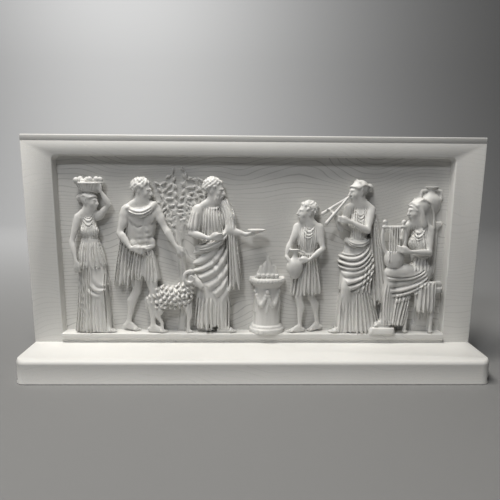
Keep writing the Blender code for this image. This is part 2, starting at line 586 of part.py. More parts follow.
def priest(clay):
    """pours from a dish"""
    clay.place(PRIEST_AT)
    mantle = [(4.5, -0.02, 0.05, 0.58, 0.44), (3.8, -0.02, 0.05, 0.72, 0.50), (2.4, 0.0, 0.05, 0.78, 0.54),
              (1.2, -0.04, 0.03, 0.80, 0.54), (0.28, -0.08, 0.0, 0.84, 0.56)]
    hanging = [(4.9, 0.86, 0.32, 0.24, 0.28), (3.6, 0.97, 0.32, 0.28, 0.30), (2.3, 1.02, 0.3, 0.36, 0.30)]
    bare_foot(clay, (-0.5, 0.26, -0.05), (-0.02, 0.07, 0.1))
    bare_foot(clay, (0.45, 0.26, 0.3), (1.05, 0.07, 0.42))
    clay.loft(mantle)
    clay.limb([(0.15, 3.7, 0.2), (0.5, 2.15, 0.54), (0.46, 1.2, 0.42), (0.47, 0.45, 0.3)],
              [0.36, 0.28, 0.2, 0.15])
    trunk(clay, (-0.64, 5.9, 0.28), (0.62, 6.02, 0.14), (0, 3.95, 0.06), 0.58, (0.4, 0, 1), "robed")
    clay.limb([(-0.66, 5.86, 0.28), (-0.86, 5.12, 0.45)], [0.27, 0.3])
    clay.limb([(-0.34, 6.14, 0.24), (-0.1, 5.92, 0.44), (0.2, 5.94, 0.42), (0.42, 6.2, 0.16)], 0.055)
    clay.limb([(-0.7, 4.1, 0.28), (-0.28, 4.12, 0.58), (0.28, 4.4, 0.66), (0.66, 4.9, 0.48)],
              [0.15, 0.19, 0.19, 0.17])
    fan(clay, ((0.62, 4.7, 0.5), (0.7, 3.6, 0.45)), ((-0.7, 3.8, 0.35), (-0.78, 1.8, 0.3)), 5,
        (0.1, -0.3, 0.3), 0.09)
    pleats(clay, mantle, spread(4, -0.9, 0.0), 1.7, 0.26, 0.12)
    pleats(clay, mantle, spread(2, 0.6, 0.95), 1.9, 0.26, 0.11)
    clay.limb([(0.52, 6.16, 0.12), (0.8, 5.55, 0.32), (0.84, 4.95, 0.44)], [0.26, 0.29, 0.26])
    clay.loft(hanging)
    pleats(clay, hanging, spread(3, -0.75, 0.75), 4.85, 2.28, 0.12)
    arm(clay, (-0.68, 5.82, 0.28), (-0.95, 4.8, 0.55), (-0.14, 4.62, 0.95), 1.05)
    hand(clay, (-0.14, 4.62, 0.95), (1, 0.15, 0), (-0.1, 1, 0.2), (0.1, 0, -1))
    arm(clay, (0.82, 5.0, 0.48), (0.9, 4.9, 0.54), (1.55, 4.78, 0.68))
    hand(clay, (1.5, 4.78, 0.68), (1, 0.05, 0.1), (0, 0.2, 1), (0, 1, 0))
    clay.loft([(4.84, 2.0, 0.62, 0.2, 0.22), (4.93, 2.0, 0.62, 0.38, 0.38), (5.03, 2.0, 0.62, 0.42, 0.4)])
    head(clay, (0.1, 6.74, 0.22), (1, -0.12, 0.4), "curls", beard=True, size=1.02)


def altar(clay):
    clay.place(ALTAR_AT, plane=HALF_SUNK * 0.8)
    profile = [(-0.02, 0.84), (0.2, 0.84), (0.34, 0.74), (0.4, 0.64), (2.22, 0.60), (2.4, 0.74),
               (2.46, 0.84),
               (2.66, 0.84)]
    clay.loft([(z, 0, 0, wide, wide * 1.15) for z, wide in profile])
    for side in (-1, 1):
        for i in range(9):
            t = i / 8
            x = side * 0.54 * t
            clay.ball((x, 2.02 - 0.62 * math.sin(math.pi * t), 1.15 * math.sqrt(0.62 ** 2 - x * x)),
                      (0.11, 0.11, 0.14))
    for i in range(6):
        x = -0.42 + 0.168 * i
        top = 3.25 + 0.62 * math.exp(-(x / 0.26) ** 2)
        clay.limb([(x, 2.6, 0.25), (x * 0.85, (2.7 + top) / 2, 0.25), (x * 0.6, top, 0.25)],
                  [0.15, 0.13, 0.05])


def child(clay):
    clay.place(CHILD_AT, mirror=-1.0)
    leg(clay, (-0.14, 3.1, 0), (-0.24, 1.8, 0.05), (-0.56, 0.4, -0.05), (-0.1, 0.07, 0.05), 0.84)
    leg(clay, (0.14, 3.1, 0.12), (0.38, 1.75, 0.34), (0.3, 0.32, 0.27), (0.84, 0.07, 0.38), 0.84,
        back=(-0.9, 0, -0.3))
    tunic = [(3.95, 0, 0.05, 0.44, 0.38), (3.2, 0, 0.05, 0.58, 0.44), (1.92, 0.02, 0.05, 0.76, 0.50)]
    trunk(clay, (-0.46, 5.02, 0.22), (0.44, 5.1, 0.07), (0, 3.3, 0.04), 0.46, (0.4, 0, 1), "child")
    clay.ball((0, 4.5, 0.12), (0.5, 0.62, 0.42))
    clay.loft(tunic)
    pleats(clay, tunic, spread(6), 3.8, 1.9, 0.11)
    clay.limb([(-0.44, 3.9, 0.15), (-0.16, 3.84, 0.42), (0.15, 3.84, 0.45), (0.43, 3.9, 0.22)], 0.07)
    swags(clay, (-0.32, 5.1, 0.3), (0.3, 5.15, 0.22), (0.3, 0.5))
    arm(clay, (-0.5, 4.9, 0.25), (-0.68, 4.1, 0.48), (-0.02, 3.62, 0.8), 0.86)
    hand(clay, (-0.02, 3.62, 0.8), (1, -0.1, 0), (0, 1, 0), (0.1, 0, -1), 0.8)
    arm(clay, (0.48, 4.95, 0.1), (0.86, 4.28, 0.32), (1.04, 3.72, 0.55), 0.86)
    jug = [(2.72, 0.18), (3.15, 0.38), (3.5, 0.34), (3.72, 0.16), (3.95, 0.15), (4.1, 0.25)]
    clay.loft([(z, 0.62, 0.6, wide, wide) for z, wide in jug])
    head(clay, (0.1, 5.75, 0.17), (1, 0.12, 0.42), "curls", size=0.97)


def piper(clay):
    """plays two pipes"""
    clay.place(PIPER_AT, mirror=-1.0)
    skirt = [(4.55, -0.02, 0.02, 0.44, 0.36), (3.85, -0.04, 0.02, 0.64, 0.46),
             (2.7, -0.05, 0.0, 0.72, 0.52),
             (1.2, -0.12, -0.02, 0.90, 0.54), (0.0, -0.2, -0.02, 1.12, 0.56)]
    wrap = [(4.5, -0.02, 0.04, 0.54, 0.46), (3.9, -0.02, 0.04, 0.72, 0.54), (3.0, 0.0, 0.04, 0.78, 0.58),
            (2.1, 0.05, 0.02, 0.78, 0.58)]
    hanging = [(5.7, -0.6, 0.0, 0.22, 0.28), (4.4, -0.88, 0.0, 0.30, 0.30), (2.6, -1.06, -0.02, 0.38, 0.32),
               (1.5, -1.16, -0.04, 0.42, 0.32)]
    bare_foot(clay, (0.62, 0.26, 0.3), (1.2, 0.07, 0.42))
    clay.loft(skirt)
    clay.loft(wrap)
    clay.loft(hanging)
    trunk(clay, (-0.5, 5.95, 0.22), (0.48, 6.0, 0.07), (-0.02, 3.95, 0), 0.58, (0.45, 0, 1), "woman")
    clay.limb([(0.1, 3.7, 0.15), (0.5, 2.25, 0.48), (0.52, 1.2, 0.36), (0.6, 0.35, 0.3)],
              [0.36, 0.27, 0.2, 0.15])
    fan(clay, ((-0.5, 4.2, 0.35), (-0.7, 3.4, 0.3)), ((0.66, 4.0, 0.35), (0.75, 2.2, 0.3)), 5,
        (0, -0.45, 0.35), 0.09)
    clay.limb([(-0.52, 4.5, 0.2), (-0.12, 4.3, 0.52), (0.3, 4.36, 0.56), (0.58, 4.52, 0.3)], 0.14)
    pleats(clay, skirt, spread(5, -0.95, -0.05), 2.1, 0.0, 0.13)
    pleats(clay, skirt, spread(2, 0.65, 0.95), 2.1, 0.0, 0.12)
    pleats(clay, hanging, spread(3, -0.75, 0.75), 5.4, 1.5, 0.12)
    swags(clay, (-0.36, 6.05, 0.3), (0.34, 6.08, 0.18), (0.25, 0.46))
    arm(clay, (-0.52, 5.88, 0.28), (-0.34, 4.98, 0.76), (0.55, 5.42, 0.86), 0.9)
    arm(clay, (0.52, 5.92, 0.08), (0.84, 5.02, 0.34), (1.16, 5.6, 0.5), 0.9)
    hand(clay, (0.52, 5.4, 0.86), (1, 0.25, 0), (0, 1, 0.1), (0.2, 0, -1))
    hand(clay, (1.14, 5.56, 0.53), (0.6, 0.9, 0), (0, 0.3, 1), (0.7, -0.3, 0))
    for end in ((1.6, 5.34, 0.95), (1.74, 5.74, 0.5)):
        clay.limb([(0.58, 6.5, 0.45), end], [0.065, 0.095], rooted=False)
    head(clay, (0.1, 6.72, 0.17), (1, -0.08, 0.42), "knot")


def lyrist(clay):
    """sits on a stool, feet on a block"""
    clay.place(LYRIST_AT, HEAD * 1.02, mirror=-1.0)
    for x, d in ((-1.0, -0.1), (-0.95, 0.42), (0.25, 0.38)):
        clay.limb([(x, 2.0, d), (x - 0.06, 1.5, d), (x + 0.02, 0.0, d)], [0.13, 0.11, 0.11])
    clay.loft([(1.98, -0.4, 0.12, 0.98, 0.54), (2.22, -0.4, 0.12, 0.98, 0.54)], square=0.35)
    clay.limb([(-1.22, 2.36, 0.3), (-0.4, 2.34, 0.58), (0.3, 2.36, 0.52)], [0.16, 0.18, 0.16])
    clay.loft([(-0.02, 1.35, 0.1, 0.64, 0.72), (0.3, 1.35, 0.1, 0.58, 0.68)], square=0.35)
    bare_foot(clay, (1.05, 0.58, 0.0), (1.62, 0.38, 0.1))
    bare_foot(clay, (1.2, 0.56, 0.38), (1.84, 0.38, 0.45))
    clay.limb([(-0.3, 2.7, -0.1), (0.4, 2.85, 0.02), (0.98, 2.85, 0.02)], [0.42, 0.34, 0.26])
    clay.limb([(0.98, 2.8, 0.0), (1.0, 1.8, 0.0), (1.02, 0.7, 0.0)], [0.26, 0.24, 0.18])
    clay.limb([(-0.35, 2.75, 0.3), (0.4, 2.98, 0.5), (1.1, 2.98, 0.56)], [0.44, 0.37, 0.29])
    clay.limb([(1.1, 2.9, 0.54), (1.16, 1.9, 0.48), (1.2, 0.7, 0.42)], [0.28, 0.25, 0.18])
    drop = [(2.6, 0.55, 0.2, 0.62, 0.42), (1.6, 0.72, 0.18, 0.54, 0.44), (0.42, 0.86, 0.14, 0.60, 0.48)]
    hanging = [(2.5, -0.55, 0.52, 0.52, 0.22), (1.1, -0.6, 0.5, 0.48, 0.24)]
    clay.loft(drop)
    clay.loft(hanging)
    pleats(clay, drop, spread(4, -0.9, 0.5), 2.2, 0.4, 0.12)
    pleats(clay, hanging, spread(4, -0.8, 0.8), 2.5, 1.1, 0.11)
    fan(clay, ((-0.5, 3.1, 0.62), (-0.6, 2.5, 0.6)), ((1.25, 2.9, 0.72), (0.95, 1.4, 0.6)), 4,
        (0.05, -0.3, 0.14), 0.09)
    trunk(clay, (-0.6, 4.92, 0.24), (0.38, 5.05, 0.08), (-0.35, 2.95, 0.12), 0.6, (0.5, 0, 1), "woman")
    swags(clay, (-0.4, 5.05, 0.3), (0.24, 5.12, 0.17), (0.25, 0.46))
    clay.limb([(-0.78, 3.76, 0.25), (-0.38, 3.66, 0.54), (0.06, 3.78, 0.54)], 0.08)
    clay.loft([(3.2, 1.0, 0.62, 0.30, 0.26), (3.4, 1.0, 0.62, 0.42, 0.30), (3.7, 1.0, 0.62, 0.46, 0.30),
               (3.95, 1.0, 0.62, 0.38, 0.26)])
    for side in (-1, 1):
        points = []
        for i in range(8):
            t = i / 7
            points.append((1.02 + side * (0.3 + 0.24 * math.sin(0.9 * math.pi * t)) + 0.06 * t,
                           3.75 + 1.5 * t, 0.64))
        clay.limb(points, [0.1 - 0.003 * i for i in range(8)])
    clay.limb([(0.6, 5.06, 0.68), (1.58, 5.06, 0.68)], 0.08)
    arm(clay, (-0.64, 4.84, 0.25), (-0.6, 3.88, 0.66), (0.38, 3.96, 0.98), 0.9)
    hand(clay, (0.36, 3.96, 0.98), (1, 0.25, 0), (-0.1, 1, 0.1), (0.2, 0, -1))
    arm(clay, (0.42, 4.92, 0.05), (0.62, 4.15, 0.12), (0.86, 4.6, 0.4), 0.88)
    head(clay, (0.0, 5.75, 0.17), (1, -0.12, 0.42), "veil")


def pillar(clay):
    """in flat relief, with an urn on top"""
    clay.place(PILLAR_AT, HEAD * 0.96, plane=HALF_SUNK * 0.05)
    shaft = [(-0.02, 0.62), (0.3, 0.62), (0.45, 0.46), (0.5, 0.42), (5.2, 0.40), (5.35, 0.5), (5.4, 0.6),
             (5.55, 0.6)]
    clay.loft([(z, 0, 0, wide, 0.30) for z, wide in shaft], square=0.3)
    urn = [(5.5, 0.24), (5.65, 0.14), (5.8, 0.18), (6.3, 0.46), (6.75, 0.42), (6.95, 0.21), (7.15, 0.19),
           (7.25, 0.32)]
    clay.loft([(z, 0, 0.05, wide, wide) for z, wide in urn])
    for side in (-1, 1):
        clay.limb([(0.17 * side, 7.1, 0.1), (0.46 * side, 7.05, 0.1), (0.52 * side, 6.7, 0.1),
                   (0.4 * side, 6.5, 0.1)],
                  0.07)


def frieze():
    clay = Clay()
    for figure in (basket_bearer, youth, ram, tree, priest, altar, child, piper, lyrist, pillar):
        figure(clay)
    return clay


def carving():
    """the shapes are fused into one skin and cut flat behind and below"""
    clay = frieze()
    mesh = bpy.data.meshes.new("carving")
    mesh.from_pydata(clay.points, [], clay.faces)
    item = bpy.data.objects.new("carving", mesh)
    bpy.context.scene.collection.objects.link(item)
    fuse = item.modifiers.new("fuse", "REMESH")
    fuse.mode = "VOXEL"
    fuse.voxel_size = VOXEL
    soften = item.modifiers.new("soften", "SMOOTH")
    soften.factor = 0.5
    soften.iterations = 2
    apply_modifiers(item)
    drop_hollows(item.data)
    cut_flat(item.data, (0.0, ROOT, 0.0), (0.0, 1.0, 0.0))
    cut_flat(item.data, (0.0, 0.0, -ROOT), (0.0, 0.0, -1.0))
    return item


def cut_flat(mesh, place, outwards):
    """what lies beyond a plane is cut away and the openings are closed"""
    bm = bmesh.new()
    bm.from_mesh(mesh)
    everything = bm.verts[:] + bm.edges[:] + bm.faces[:]
    made = bmesh.ops.bisect_plane(bm, geom=everything, plane_co=place, plane_no=outwards, clear_outer=True)
    rim = [part for part in made["geom_cut"] if isinstance(part, bmesh.types.BMEdge)]
    bmesh.ops.triangle_fill(bm, use_beauty=True, edges=rim, normal=outwards)
    bm.to_mesh(mesh)
    bm.free()


def triangle_count(mesh):
    return sum(len(face.vertices) - 2 for face in mesh.polygons)


def drop_hollows(mesh):
    """skins inside the skin, which bound a sealed space, are dropped, and so are crumbs"""
    bm = bmesh.new()
    bm.from_mesh(mesh)
    seen = set()
    for start in list(bm.verts):
        if start in seen:
            continue
        island, rest = {start}, [start]
        while rest:
            vert = rest.pop()
            for edge in vert.link_edges:
                other = edge.other_vert(vert)
                if other not in island:
                    island.add(other)
                    rest.append(other)
        seen |= island
        faces = {face for vert in island for face in vert.link_faces}
        volume = 0.0
        for face in faces:
            corners = [vert.co for vert in face.verts]
            for i in range(1, len(corners) - 1):
                volume += corners[0].dot(corners[i].cross(corners[i + 1])) / 6
        if volume < CRUMB:
            bmesh.ops.delete(bm, geom=list(island), context="VERTS")
    bm.to_mesh(mesh)
    bm.free()


def copy_of(item, name):
    other = bpy.data.objects.new(name, item.data.copy())
    bpy.context.scene.collection.objects.link(other)
    return other


def thinned(item, faces):
    """a copy with fewer faces, put in its place on the slab"""
    other = copy_of(item, "thinned")
    thin = other.modifiers.new("thin", "DECIMATE")
    thin.ratio = min(1.0, faces / triangle_count(other.data))
    apply_modifiers(other)
    other.data.transform(Matrix.Translation((0.0, GROUND, FLOOR)))
    return other


def finish_skin(mesh, shortest):
    """the shortest edges are closed up and the faces made triangles"""
    bm = bmesh.new()
    bm.from_mesh(mesh)
    if shortest > 0.0:
        bmesh.ops.dissolve_degenerate(bm, dist=shortest, edges=bm.edges[:])
    bmesh.ops.triangulate(bm, faces=bm.faces[:])
    bm.to_mesh(mesh)
    bm.free()


def volume_if_sound(mesh):
    """nothing for a skin that touches itself"""
    bm = bmesh.new()
    bm.from_mesh(mesh)
    bmesh.ops.remove_doubles(bm, verts=bm.verts, dist=WELD / 50)
    sound = all(vert.is_manifold for vert in bm.verts) and all(edge.is_manifold for edge in bm.edges)
    volume = bm.calc_volume() if sound else 0.0
    bm.free()
    return volume


def joined(slab, skin):
    """a narrow spot of the carving can touch itself once thinned: then it is joined in another way"""
    ways = ((WELD * 3, 1.0, False), (0.0, 1.0, False), (WELD * 6, 1.0, False), (0.0, THINNER, True))
    least = volume_if_sound(slab.data)
    whole = None
    for shortest, share, folded in ways:
        if whole is not None:
            bpy.data.objects.remove(whole, do_unlink=True)
        whole = copy_of(slab, "relief_panel")
        combine(whole, thinned(skin, CARVING_FACES * share), "UNION", folded)
        drop_hollows(whole.data)
        finish_skin(whole.data, shortest)
        if volume_if_sound(whole.data) > least:
            break
    return whole


def build():
    clear_scene()
    slab = new_object("slab", panel)
    combine(slab, new_object("cutter", recess_cutter), "DIFFERENCE")
    combine(slab, new_object("foot", foot), "UNION")
    combine(slab, new_object("ledge", ledge), "UNION")
    skin = carving()
    whole = joined(slab, skin)
    for item in (slab, skin):
        bpy.data.objects.remove(item, do_unlink=True)
    whole.data.materials.clear()
    whole.data.materials.append(white_resin())
    whole.data.shade_smooth()
    whole.data.set_sharp_from_angle(angle=math.radians(40))


build()
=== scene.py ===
"""Looks of the white relief panel: fine carving, resin finish, stage and camera.

The carving is modelled as a field of distances, in mm, and turned into one mesh. In that field x runs to
the right from the middle of the recess, z up from the ledge that the figures stand on, and d out of the
ground of the recess towards the viewer. A figure's own points are in heads: x, height and depth.
"""

import math

import bmesh
import bpy
import numpy as np
from mathutils import Matrix, Vector


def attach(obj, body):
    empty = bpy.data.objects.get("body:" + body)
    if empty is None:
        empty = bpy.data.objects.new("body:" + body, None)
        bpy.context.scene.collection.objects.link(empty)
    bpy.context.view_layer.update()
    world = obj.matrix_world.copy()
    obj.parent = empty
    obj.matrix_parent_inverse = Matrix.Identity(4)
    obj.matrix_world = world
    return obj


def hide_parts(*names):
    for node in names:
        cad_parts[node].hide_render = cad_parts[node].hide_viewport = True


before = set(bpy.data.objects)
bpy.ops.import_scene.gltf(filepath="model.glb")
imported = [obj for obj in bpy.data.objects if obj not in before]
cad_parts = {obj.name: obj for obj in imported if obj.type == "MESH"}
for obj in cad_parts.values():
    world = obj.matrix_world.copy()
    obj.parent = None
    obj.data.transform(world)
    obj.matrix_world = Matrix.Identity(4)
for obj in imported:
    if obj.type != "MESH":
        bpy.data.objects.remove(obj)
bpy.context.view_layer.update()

MM = 0.001
# sizes in mm, as in the solid
WIDTH = 200.0
FOOT_HEIGHT = 10.3
FOOT_REACH = 22.0
FOOT_CORNER = 4.6
FOOT_ROUND = 1.8
FOOT_SIDE_ROUND = 0.3
FOOT_LIP = 0.9
FOOT_LIP_OUT = 0.25
PANEL_HEIGHT = 92.6
PANEL_THICK = 12.0
SIDE_BAND = 13.2
TOP_BAND = 9.0
RECESS_DEPTH = 4.5
RECESS_CORNER = 2.2
RECESS_DRAFT = 0.4
LEDGE_TOP = 4.4
LEDGE_THICK = 2.5
LEDGE_OUT = 1.5
COVE_OUT = 0.5

HEAD = 9.6                  # head of a standing figure
FLATTEN = 0.6               # depth of the relief as a share of true depth
FAR = 2.3                   # middle plane of the figures before the ground
RECESS_HALF = WIDTH / 2 - SIDE_BAND
RECESS_HIGH = PANEL_HEIGHT - TOP_BAND - LEDGE_TOP
BACK = (FOOT_REACH + PANEL_THICK) / 2
FRONT = -BACK
FACE = BACK - PANEL_THICK
GROUND = FACE + RECESS_DEPTH
TOP = FOOT_HEIGHT + PANEL_HEIGHT
FLOOR = FOOT_HEIGHT + LEDGE_TOP

STEP = 0.27                 # grid of the carving
GRID_LOW = np.array((-RECESS_HALF - 1.6, -1.8, -2.0))
GRID_HIGH = np.array((RECESS_HALF + 1.6, RECESS_HIGH + 1.8, 9.2))
EMPTY = 4.0                 # distance given where nothing is near
OUT_OF_REACH = 9.0
# forms are measured in unflattened space, where distances are longer, and this evens them out
EVENED = np.float32(0.5 + 0.5 * FLATTEN)

# the carving's ground
GROUND_SKIN = 0.22          # it lies this far before the slab's
GROUND_WAVE = 0.05
GROUND_BLEND = 0.35
OVERLAP = 0.9               # of the carving and the recess's walls
BURIED = 1.2                # the carving goes this far into the slab
MOST_TRIANGLES = 186000
SHARP_FROM = 50             # degrees between faces that meet in a sharp edge


def unit(v):
    v = np.asarray(v, float)
    return v / np.linalg.norm(v)


def mix(a, b, t):
    return np.asarray(a, float) * (1.0 - t) + np.asarray(b, float) * t


def ease(t):
    t = np.clip(t, 0.0, 1.0)
    return t * t * (3 - 2 * t)


def soft_interp(x, xs, ys):
    """a smooth curve through the rows"""
    i = np.clip(np.searchsorted(xs, x) - 1, 0, len(xs) - 2)
    t = np.clip((x - xs[i]) / (xs[i + 1] - xs[i]), 0.0, 1.0)
    slope = np.gradient(ys, xs)
    h = xs[i + 1] - xs[i]
    a, b = slope[i] * h, slope[i + 1] * h
    return ((2 * t ** 3 - 3 * t ** 2 + 1) * ys[i] + (t ** 3 - 2 * t ** 2 + t) * a
            + (-2 * t ** 3 + 3 * t ** 2) * ys[i + 1] + (t ** 3 - t ** 2) * b)


def shifts(seed):
    """four starting angles of slow waves"""
    return np.random.default_rng(seed).uniform(0, 6.28, 4)


def soft_min(a, b, blend):
    """the lower of two fields, rounded where they cross"""
    near = np.maximum(blend - np.abs(a - b), 0.0) / blend if blend > 0 else 0.0
    return np.minimum(a, b) - near * near * blend * 0.25


class Clay:
    """a field of distances, in mm: x right, z up, d out of the ground; each figure is made in a part of it

    A figure calls start, then adds its forms in heads, then calls done. Blends are in heads too."""

    def __init__(self):
        n = np.ceil((GRID_HIGH - GRID_LOW) / STEP).astype(int) + 1
        self.axes = [(GRID_LOW[i] + STEP * np.arange(n[i])).astype(np.float32) for i in range(3)]
        self.whole = np.full(n, EMPTY, np.float32)

    def start(self, x0, head, plane, mirror=1.0, reach=(-2.6, 2.6), top=8.6):
        """x0 is the figure's middle and plane its depth, mirror is -1 where it faces left"""
        self.x0, self.head, self.plane, self.mirror = x0, head, plane, mirror
        lo = np.array((x0 + reach[0] * head, GRID_LOW[1], GRID_LOW[2]))
        hi = np.array((x0 + reach[1] * head, top * head, GRID_HIGH[2]))
        self.span = [self.cut(i, lo[i], hi[i]) for i in range(3)]
        self.near = [self.axes[i][self.span[i]] for i in range(3)]
        self.field = np.full([len(a) for a in self.near], EMPTY, np.float32)

    def cut(self, axis, a, b):
        arr = self.axes[axis]
        i = int(np.clip(np.floor((a - arr[0]) / STEP), 0, len(arr) - 1))
        j = int(np.clip(np.ceil((b - arr[0]) / STEP) + 1, i + 1, len(arr)))
        return slice(i, j)

    def done(self):
        s = tuple(self.span)
        self.whole[s] = np.minimum(self.whole[s], self.field)

    def world(self, p):
        """a point in heads, in mm of the field"""
        p = np.asarray(p, float)
        return np.array((self.x0 + self.mirror * p[0] * self.head, p[1] * self.head,
                         self.plane + p[2] * self.head * FLATTEN))

    def window(self, lo, hi):
        """the part of the grid between two corners: its slices and its coordinates"""
        out = []
        for i in range(3):
            arr = self.near[i]
            a = int(np.clip(np.floor((lo[i] - arr[0]) / STEP), 0, len(arr)))
            b = int(np.clip(np.ceil((hi[i] - arr[0]) / STEP) + 1, 0, len(arr)))
            if b <= a:
                return None, None
            out.append(slice(a, b))
        grids = np.meshgrid(*[self.near[i][out[i]] for i in range(3)], indexing="ij", sparse=True)
        return tuple(out), grids

    def melt(self, where, other, blend, cut):
        """other is added to the figure, or cut out of it"""
        old = self.field[where]
        self.field[where] = -soft_min(-old, other, blend) if cut else soft_min(old, other, blend)

    def limb(self, points, radii, blend=0.07, cut=False):
        """a round form along the points, with a radius at each or one for all"""
        pts = np.array([self.world(p) for p in points])
        rad = np.broadcast_to(np.asarray(radii, float), (len(pts),)) * self.head
        k = blend * self.head
        pad = rad.max() + k + STEP
        where, _ = self.window(pts.min(0) - pad, pts.max(0) + pad)
        if where is None:
            return
        dist = np.full(self.field[where].shape, OUT_OF_REACH, np.float32)
        base = [w.start for w in where]
        for a, b, ra, rb in zip(pts[:-1], pts[1:], rad[:-1], rad[1:]):
            p2 = max(ra, rb) + k + STEP
            w2, g = self.window(np.minimum(a, b) - p2, np.maximum(a, b) + p2)
            if w2 is None:
                continue
            sub = tuple(slice(s.start - o, s.stop - o) for s, o in zip(w2, base))
            gx, gz, gd = g[0] - a[0], g[1] - a[1], (g[2] - a[2]) / FLATTEN
            v = b - a
            v = np.array((v[0], v[1], v[2] / FLATTEN))
            n2 = max(float(v @ v), 1e-9)
            t = np.clip((gx * v[0] + gz * v[1] + gd * v[2]) / n2, 0.0, 1.0)
            d = np.sqrt((gx - t * v[0]) ** 2 + (gz - t * v[1]) ** 2 + (gd - t * v[2]) ** 2)
            dist[sub] = np.minimum(dist[sub], d - (ra + (rb - ra) * t))
        self.melt(where, dist * EVENED, k, cut)

    def ball(self, centre, radii, side=(1, 0, 0), up=(0, 1, 0), blend=0.07, cut=False):
        """radii along side, up and front; the axes are in figure space"""
        side, up = unit(side), np.asarray(up, float)
        up = unit(up - side * (up @ side))
        front = np.cross(side, up)
        turn = np.array((side, up, front))
        c = self.world(centre)
        r = np.asarray(radii, float) * self.head
        k = blend * self.head
        reach = np.sqrt((turn ** 2 * (r ** 2)[:, None]).sum(0)) + k + STEP
        where, grid = self.window(c - reach, c + reach)
        if where is None:
            return
        q = [(grid[0] - c[0]) * self.mirror, grid[1] - c[1], (grid[2] - c[2]) / FLATTEN]
        loc = [(q[0] * turn[i][0] + q[1] * turn[i][1] + q[2] * turn[i][2]) / r[i] for i in range(3)]
        k0 = np.sqrt(loc[0] ** 2 + loc[1] ** 2 + loc[2] ** 2)
        k1 = np.sqrt((loc[0] / r[0]) ** 2 + (loc[1] / r[1]) ** 2 + (loc[2] / r[2]) ** 2)
        dist = (k0 * (k0 - 1.0) / np.maximum(k1, 1e-6)).astype(np.float32) * EVENED
        self.melt(where, dist, k, cut)

    def loft(self, sections, blend=0.07, power=2.0, cut=False, hem=0.0):
        """rows of height, centre x, centre depth, half width and half depth; hem makes the lower end wavy"""
        s = np.array(sorted(sections, key=lambda row: row[0]), float)
        k = blend * self.head
        z = s[:, 0] * self.head
        cx = self.x0 + self.mirror * s[:, 1] * self.head
        cd = self.plane + s[:, 2] * self.head * FLATTEN
        rx = s[:, 3] * self.head
        rd = s[:, 4] * self.head * FLATTEN
        lo = ((cx - rx).min() - k, z.min() - k, (cd - rd).min() - k)
        hi = ((cx + rx).max() + k, z.max() + k, (cd + rd).max() + k)
        where, grid = self.window(np.array(lo) - STEP, np.array(hi) + STEP)
        zz = grid[1]

        def put(row):
            return soft_interp(zz, z, row)

        ax, ad = np.abs(grid[0] - put(cx)) / put(rx), np.abs(grid[2] - put(cd)) / put(rd)
        ring = (ax ** power + ad ** power) ** (1.0 / power)
        dist = (ring - 1.0) * np.minimum(put(rx), put(rd))
        low = z.min() + hem * self.head * (0.5 + 0.5 * np.sin(grid[0] * 2.1 + np.sin(grid[0] * 0.9)))
        dist = np.maximum(dist, np.maximum(zz - z.max(), low - zz))
        self.melt(where, dist.astype(np.float32), k, cut)

    def grid_heads(self, low, high):
        """window between two corners in heads, with x and z of its grid in heads"""
        xs = sorted(self.x0 + self.mirror * self.head * v for v in (low[0], high[0]))
        zs = [self.head * v for v in (low[1], high[1])]
        where, grid = self.window((xs[0], zs[0], GRID_LOW[2]), (xs[1], zs[1], GRID_HIGH[2]))
        return where, (grid[0] - self.x0) * self.mirror / self.head, grid[1] / self.head

    def folds(self, quad, count, deep, bow=(0.0, 0.0), ends=(0.12, 0.12), sides=0.08, seed=0, wobble=0.3):
        """ridges pressed onto whatever lies there; quad is the two ends of the stroke where the folds start
        and of the one where they end, as x and height, and bow moves the middle of each fold"""
        a0, a1, b0, b1 = np.array(quad, float)
        start, way = (a0 + a1) / 2, (b0 + b1) / 2 - (a0 + a1) / 2
        pad = np.abs(bow) + 0.25
        where, x, z = self.grid_heads(np.min(quad, axis=0) - pad, np.max(quad, axis=0) + pad)

        def along(px, pz):
            return ((px - start[0]) * way[0] + (pz - start[1]) * way[1]) / (way @ way)

        v = np.clip(along(x, z), 0.0, 1.0)
        px, pz = x - bow[0] * 4 * v * (1 - v), z - bow[1] * 4 * v * (1 - v)
        raw = along(px, pz)
        v = np.clip(raw, 0.0, 1.0)
        lx, lz = (a0[i] + (b0[i] - a0[i]) * v for i in (0, 1))
        rx, rz = (a1[i] + (b1[i] - a1[i]) * v for i in (0, 1))
        wx, wz = rx - lx, rz - lz
        u = ((px - lx) * wx + (pz - lz) * wz) / (wx ** 2 + wz ** 2)
        shift = shifts(seed)
        sway = np.sin(2.3 * count * u + shift[0]) + np.sin(4 * v + 5 * u + shift[1])
        phase = np.pi * count * u + wobble * sway
        ridge = np.abs(np.cos(phase)) - 0.45
        strong = 1 + 0.4 * np.sin(1.7 * count * u + shift[2]) * np.cos(2 * v + shift[3])
        mask = ease(raw / ends[0]) * ease((1 - raw) / ends[1]) * ease(u / sides) * ease((1 - u) / sides)
        self.field[where] -= (deep * self.head * mask * ridge * strong).astype(np.float32)

    def curls(self, centre, radii, size, deep, seed=0):
        """small lumps in an uneven honeycomb, pressed onto what lies within an oval"""
        c, r = np.array(centre), np.array(radii)
        where, x, z = self.grid_heads(c - r, c + r)
        shift = shifts(seed)
        a, b = (x - c[0]) / size, (z - c[1]) / size
        a, b = a + 0.45 * np.sin(b * 0.9 + shift[0]), b + 0.45 * np.sin(a * 1.1 + shift[1])
        turn = 2 * np.pi
        lumps = np.cos(turn * a) + np.cos(turn * (0.866 * b - 0.5 * a)) + np.cos(turn * (0.866 * b + 0.5 * a))
        mask = ease((1 - ((x - c[0]) / r[0]) ** 2 - ((z - c[1]) / r[1]) ** 2) / 0.25)
        self.field[where] -= (deep * self.head * mask * lumps / 3).astype(np.float32)


A = np.array                # short, because the figures use it often


# bodies; a point is x, height and depth in heads, and x grows the way the figure faces

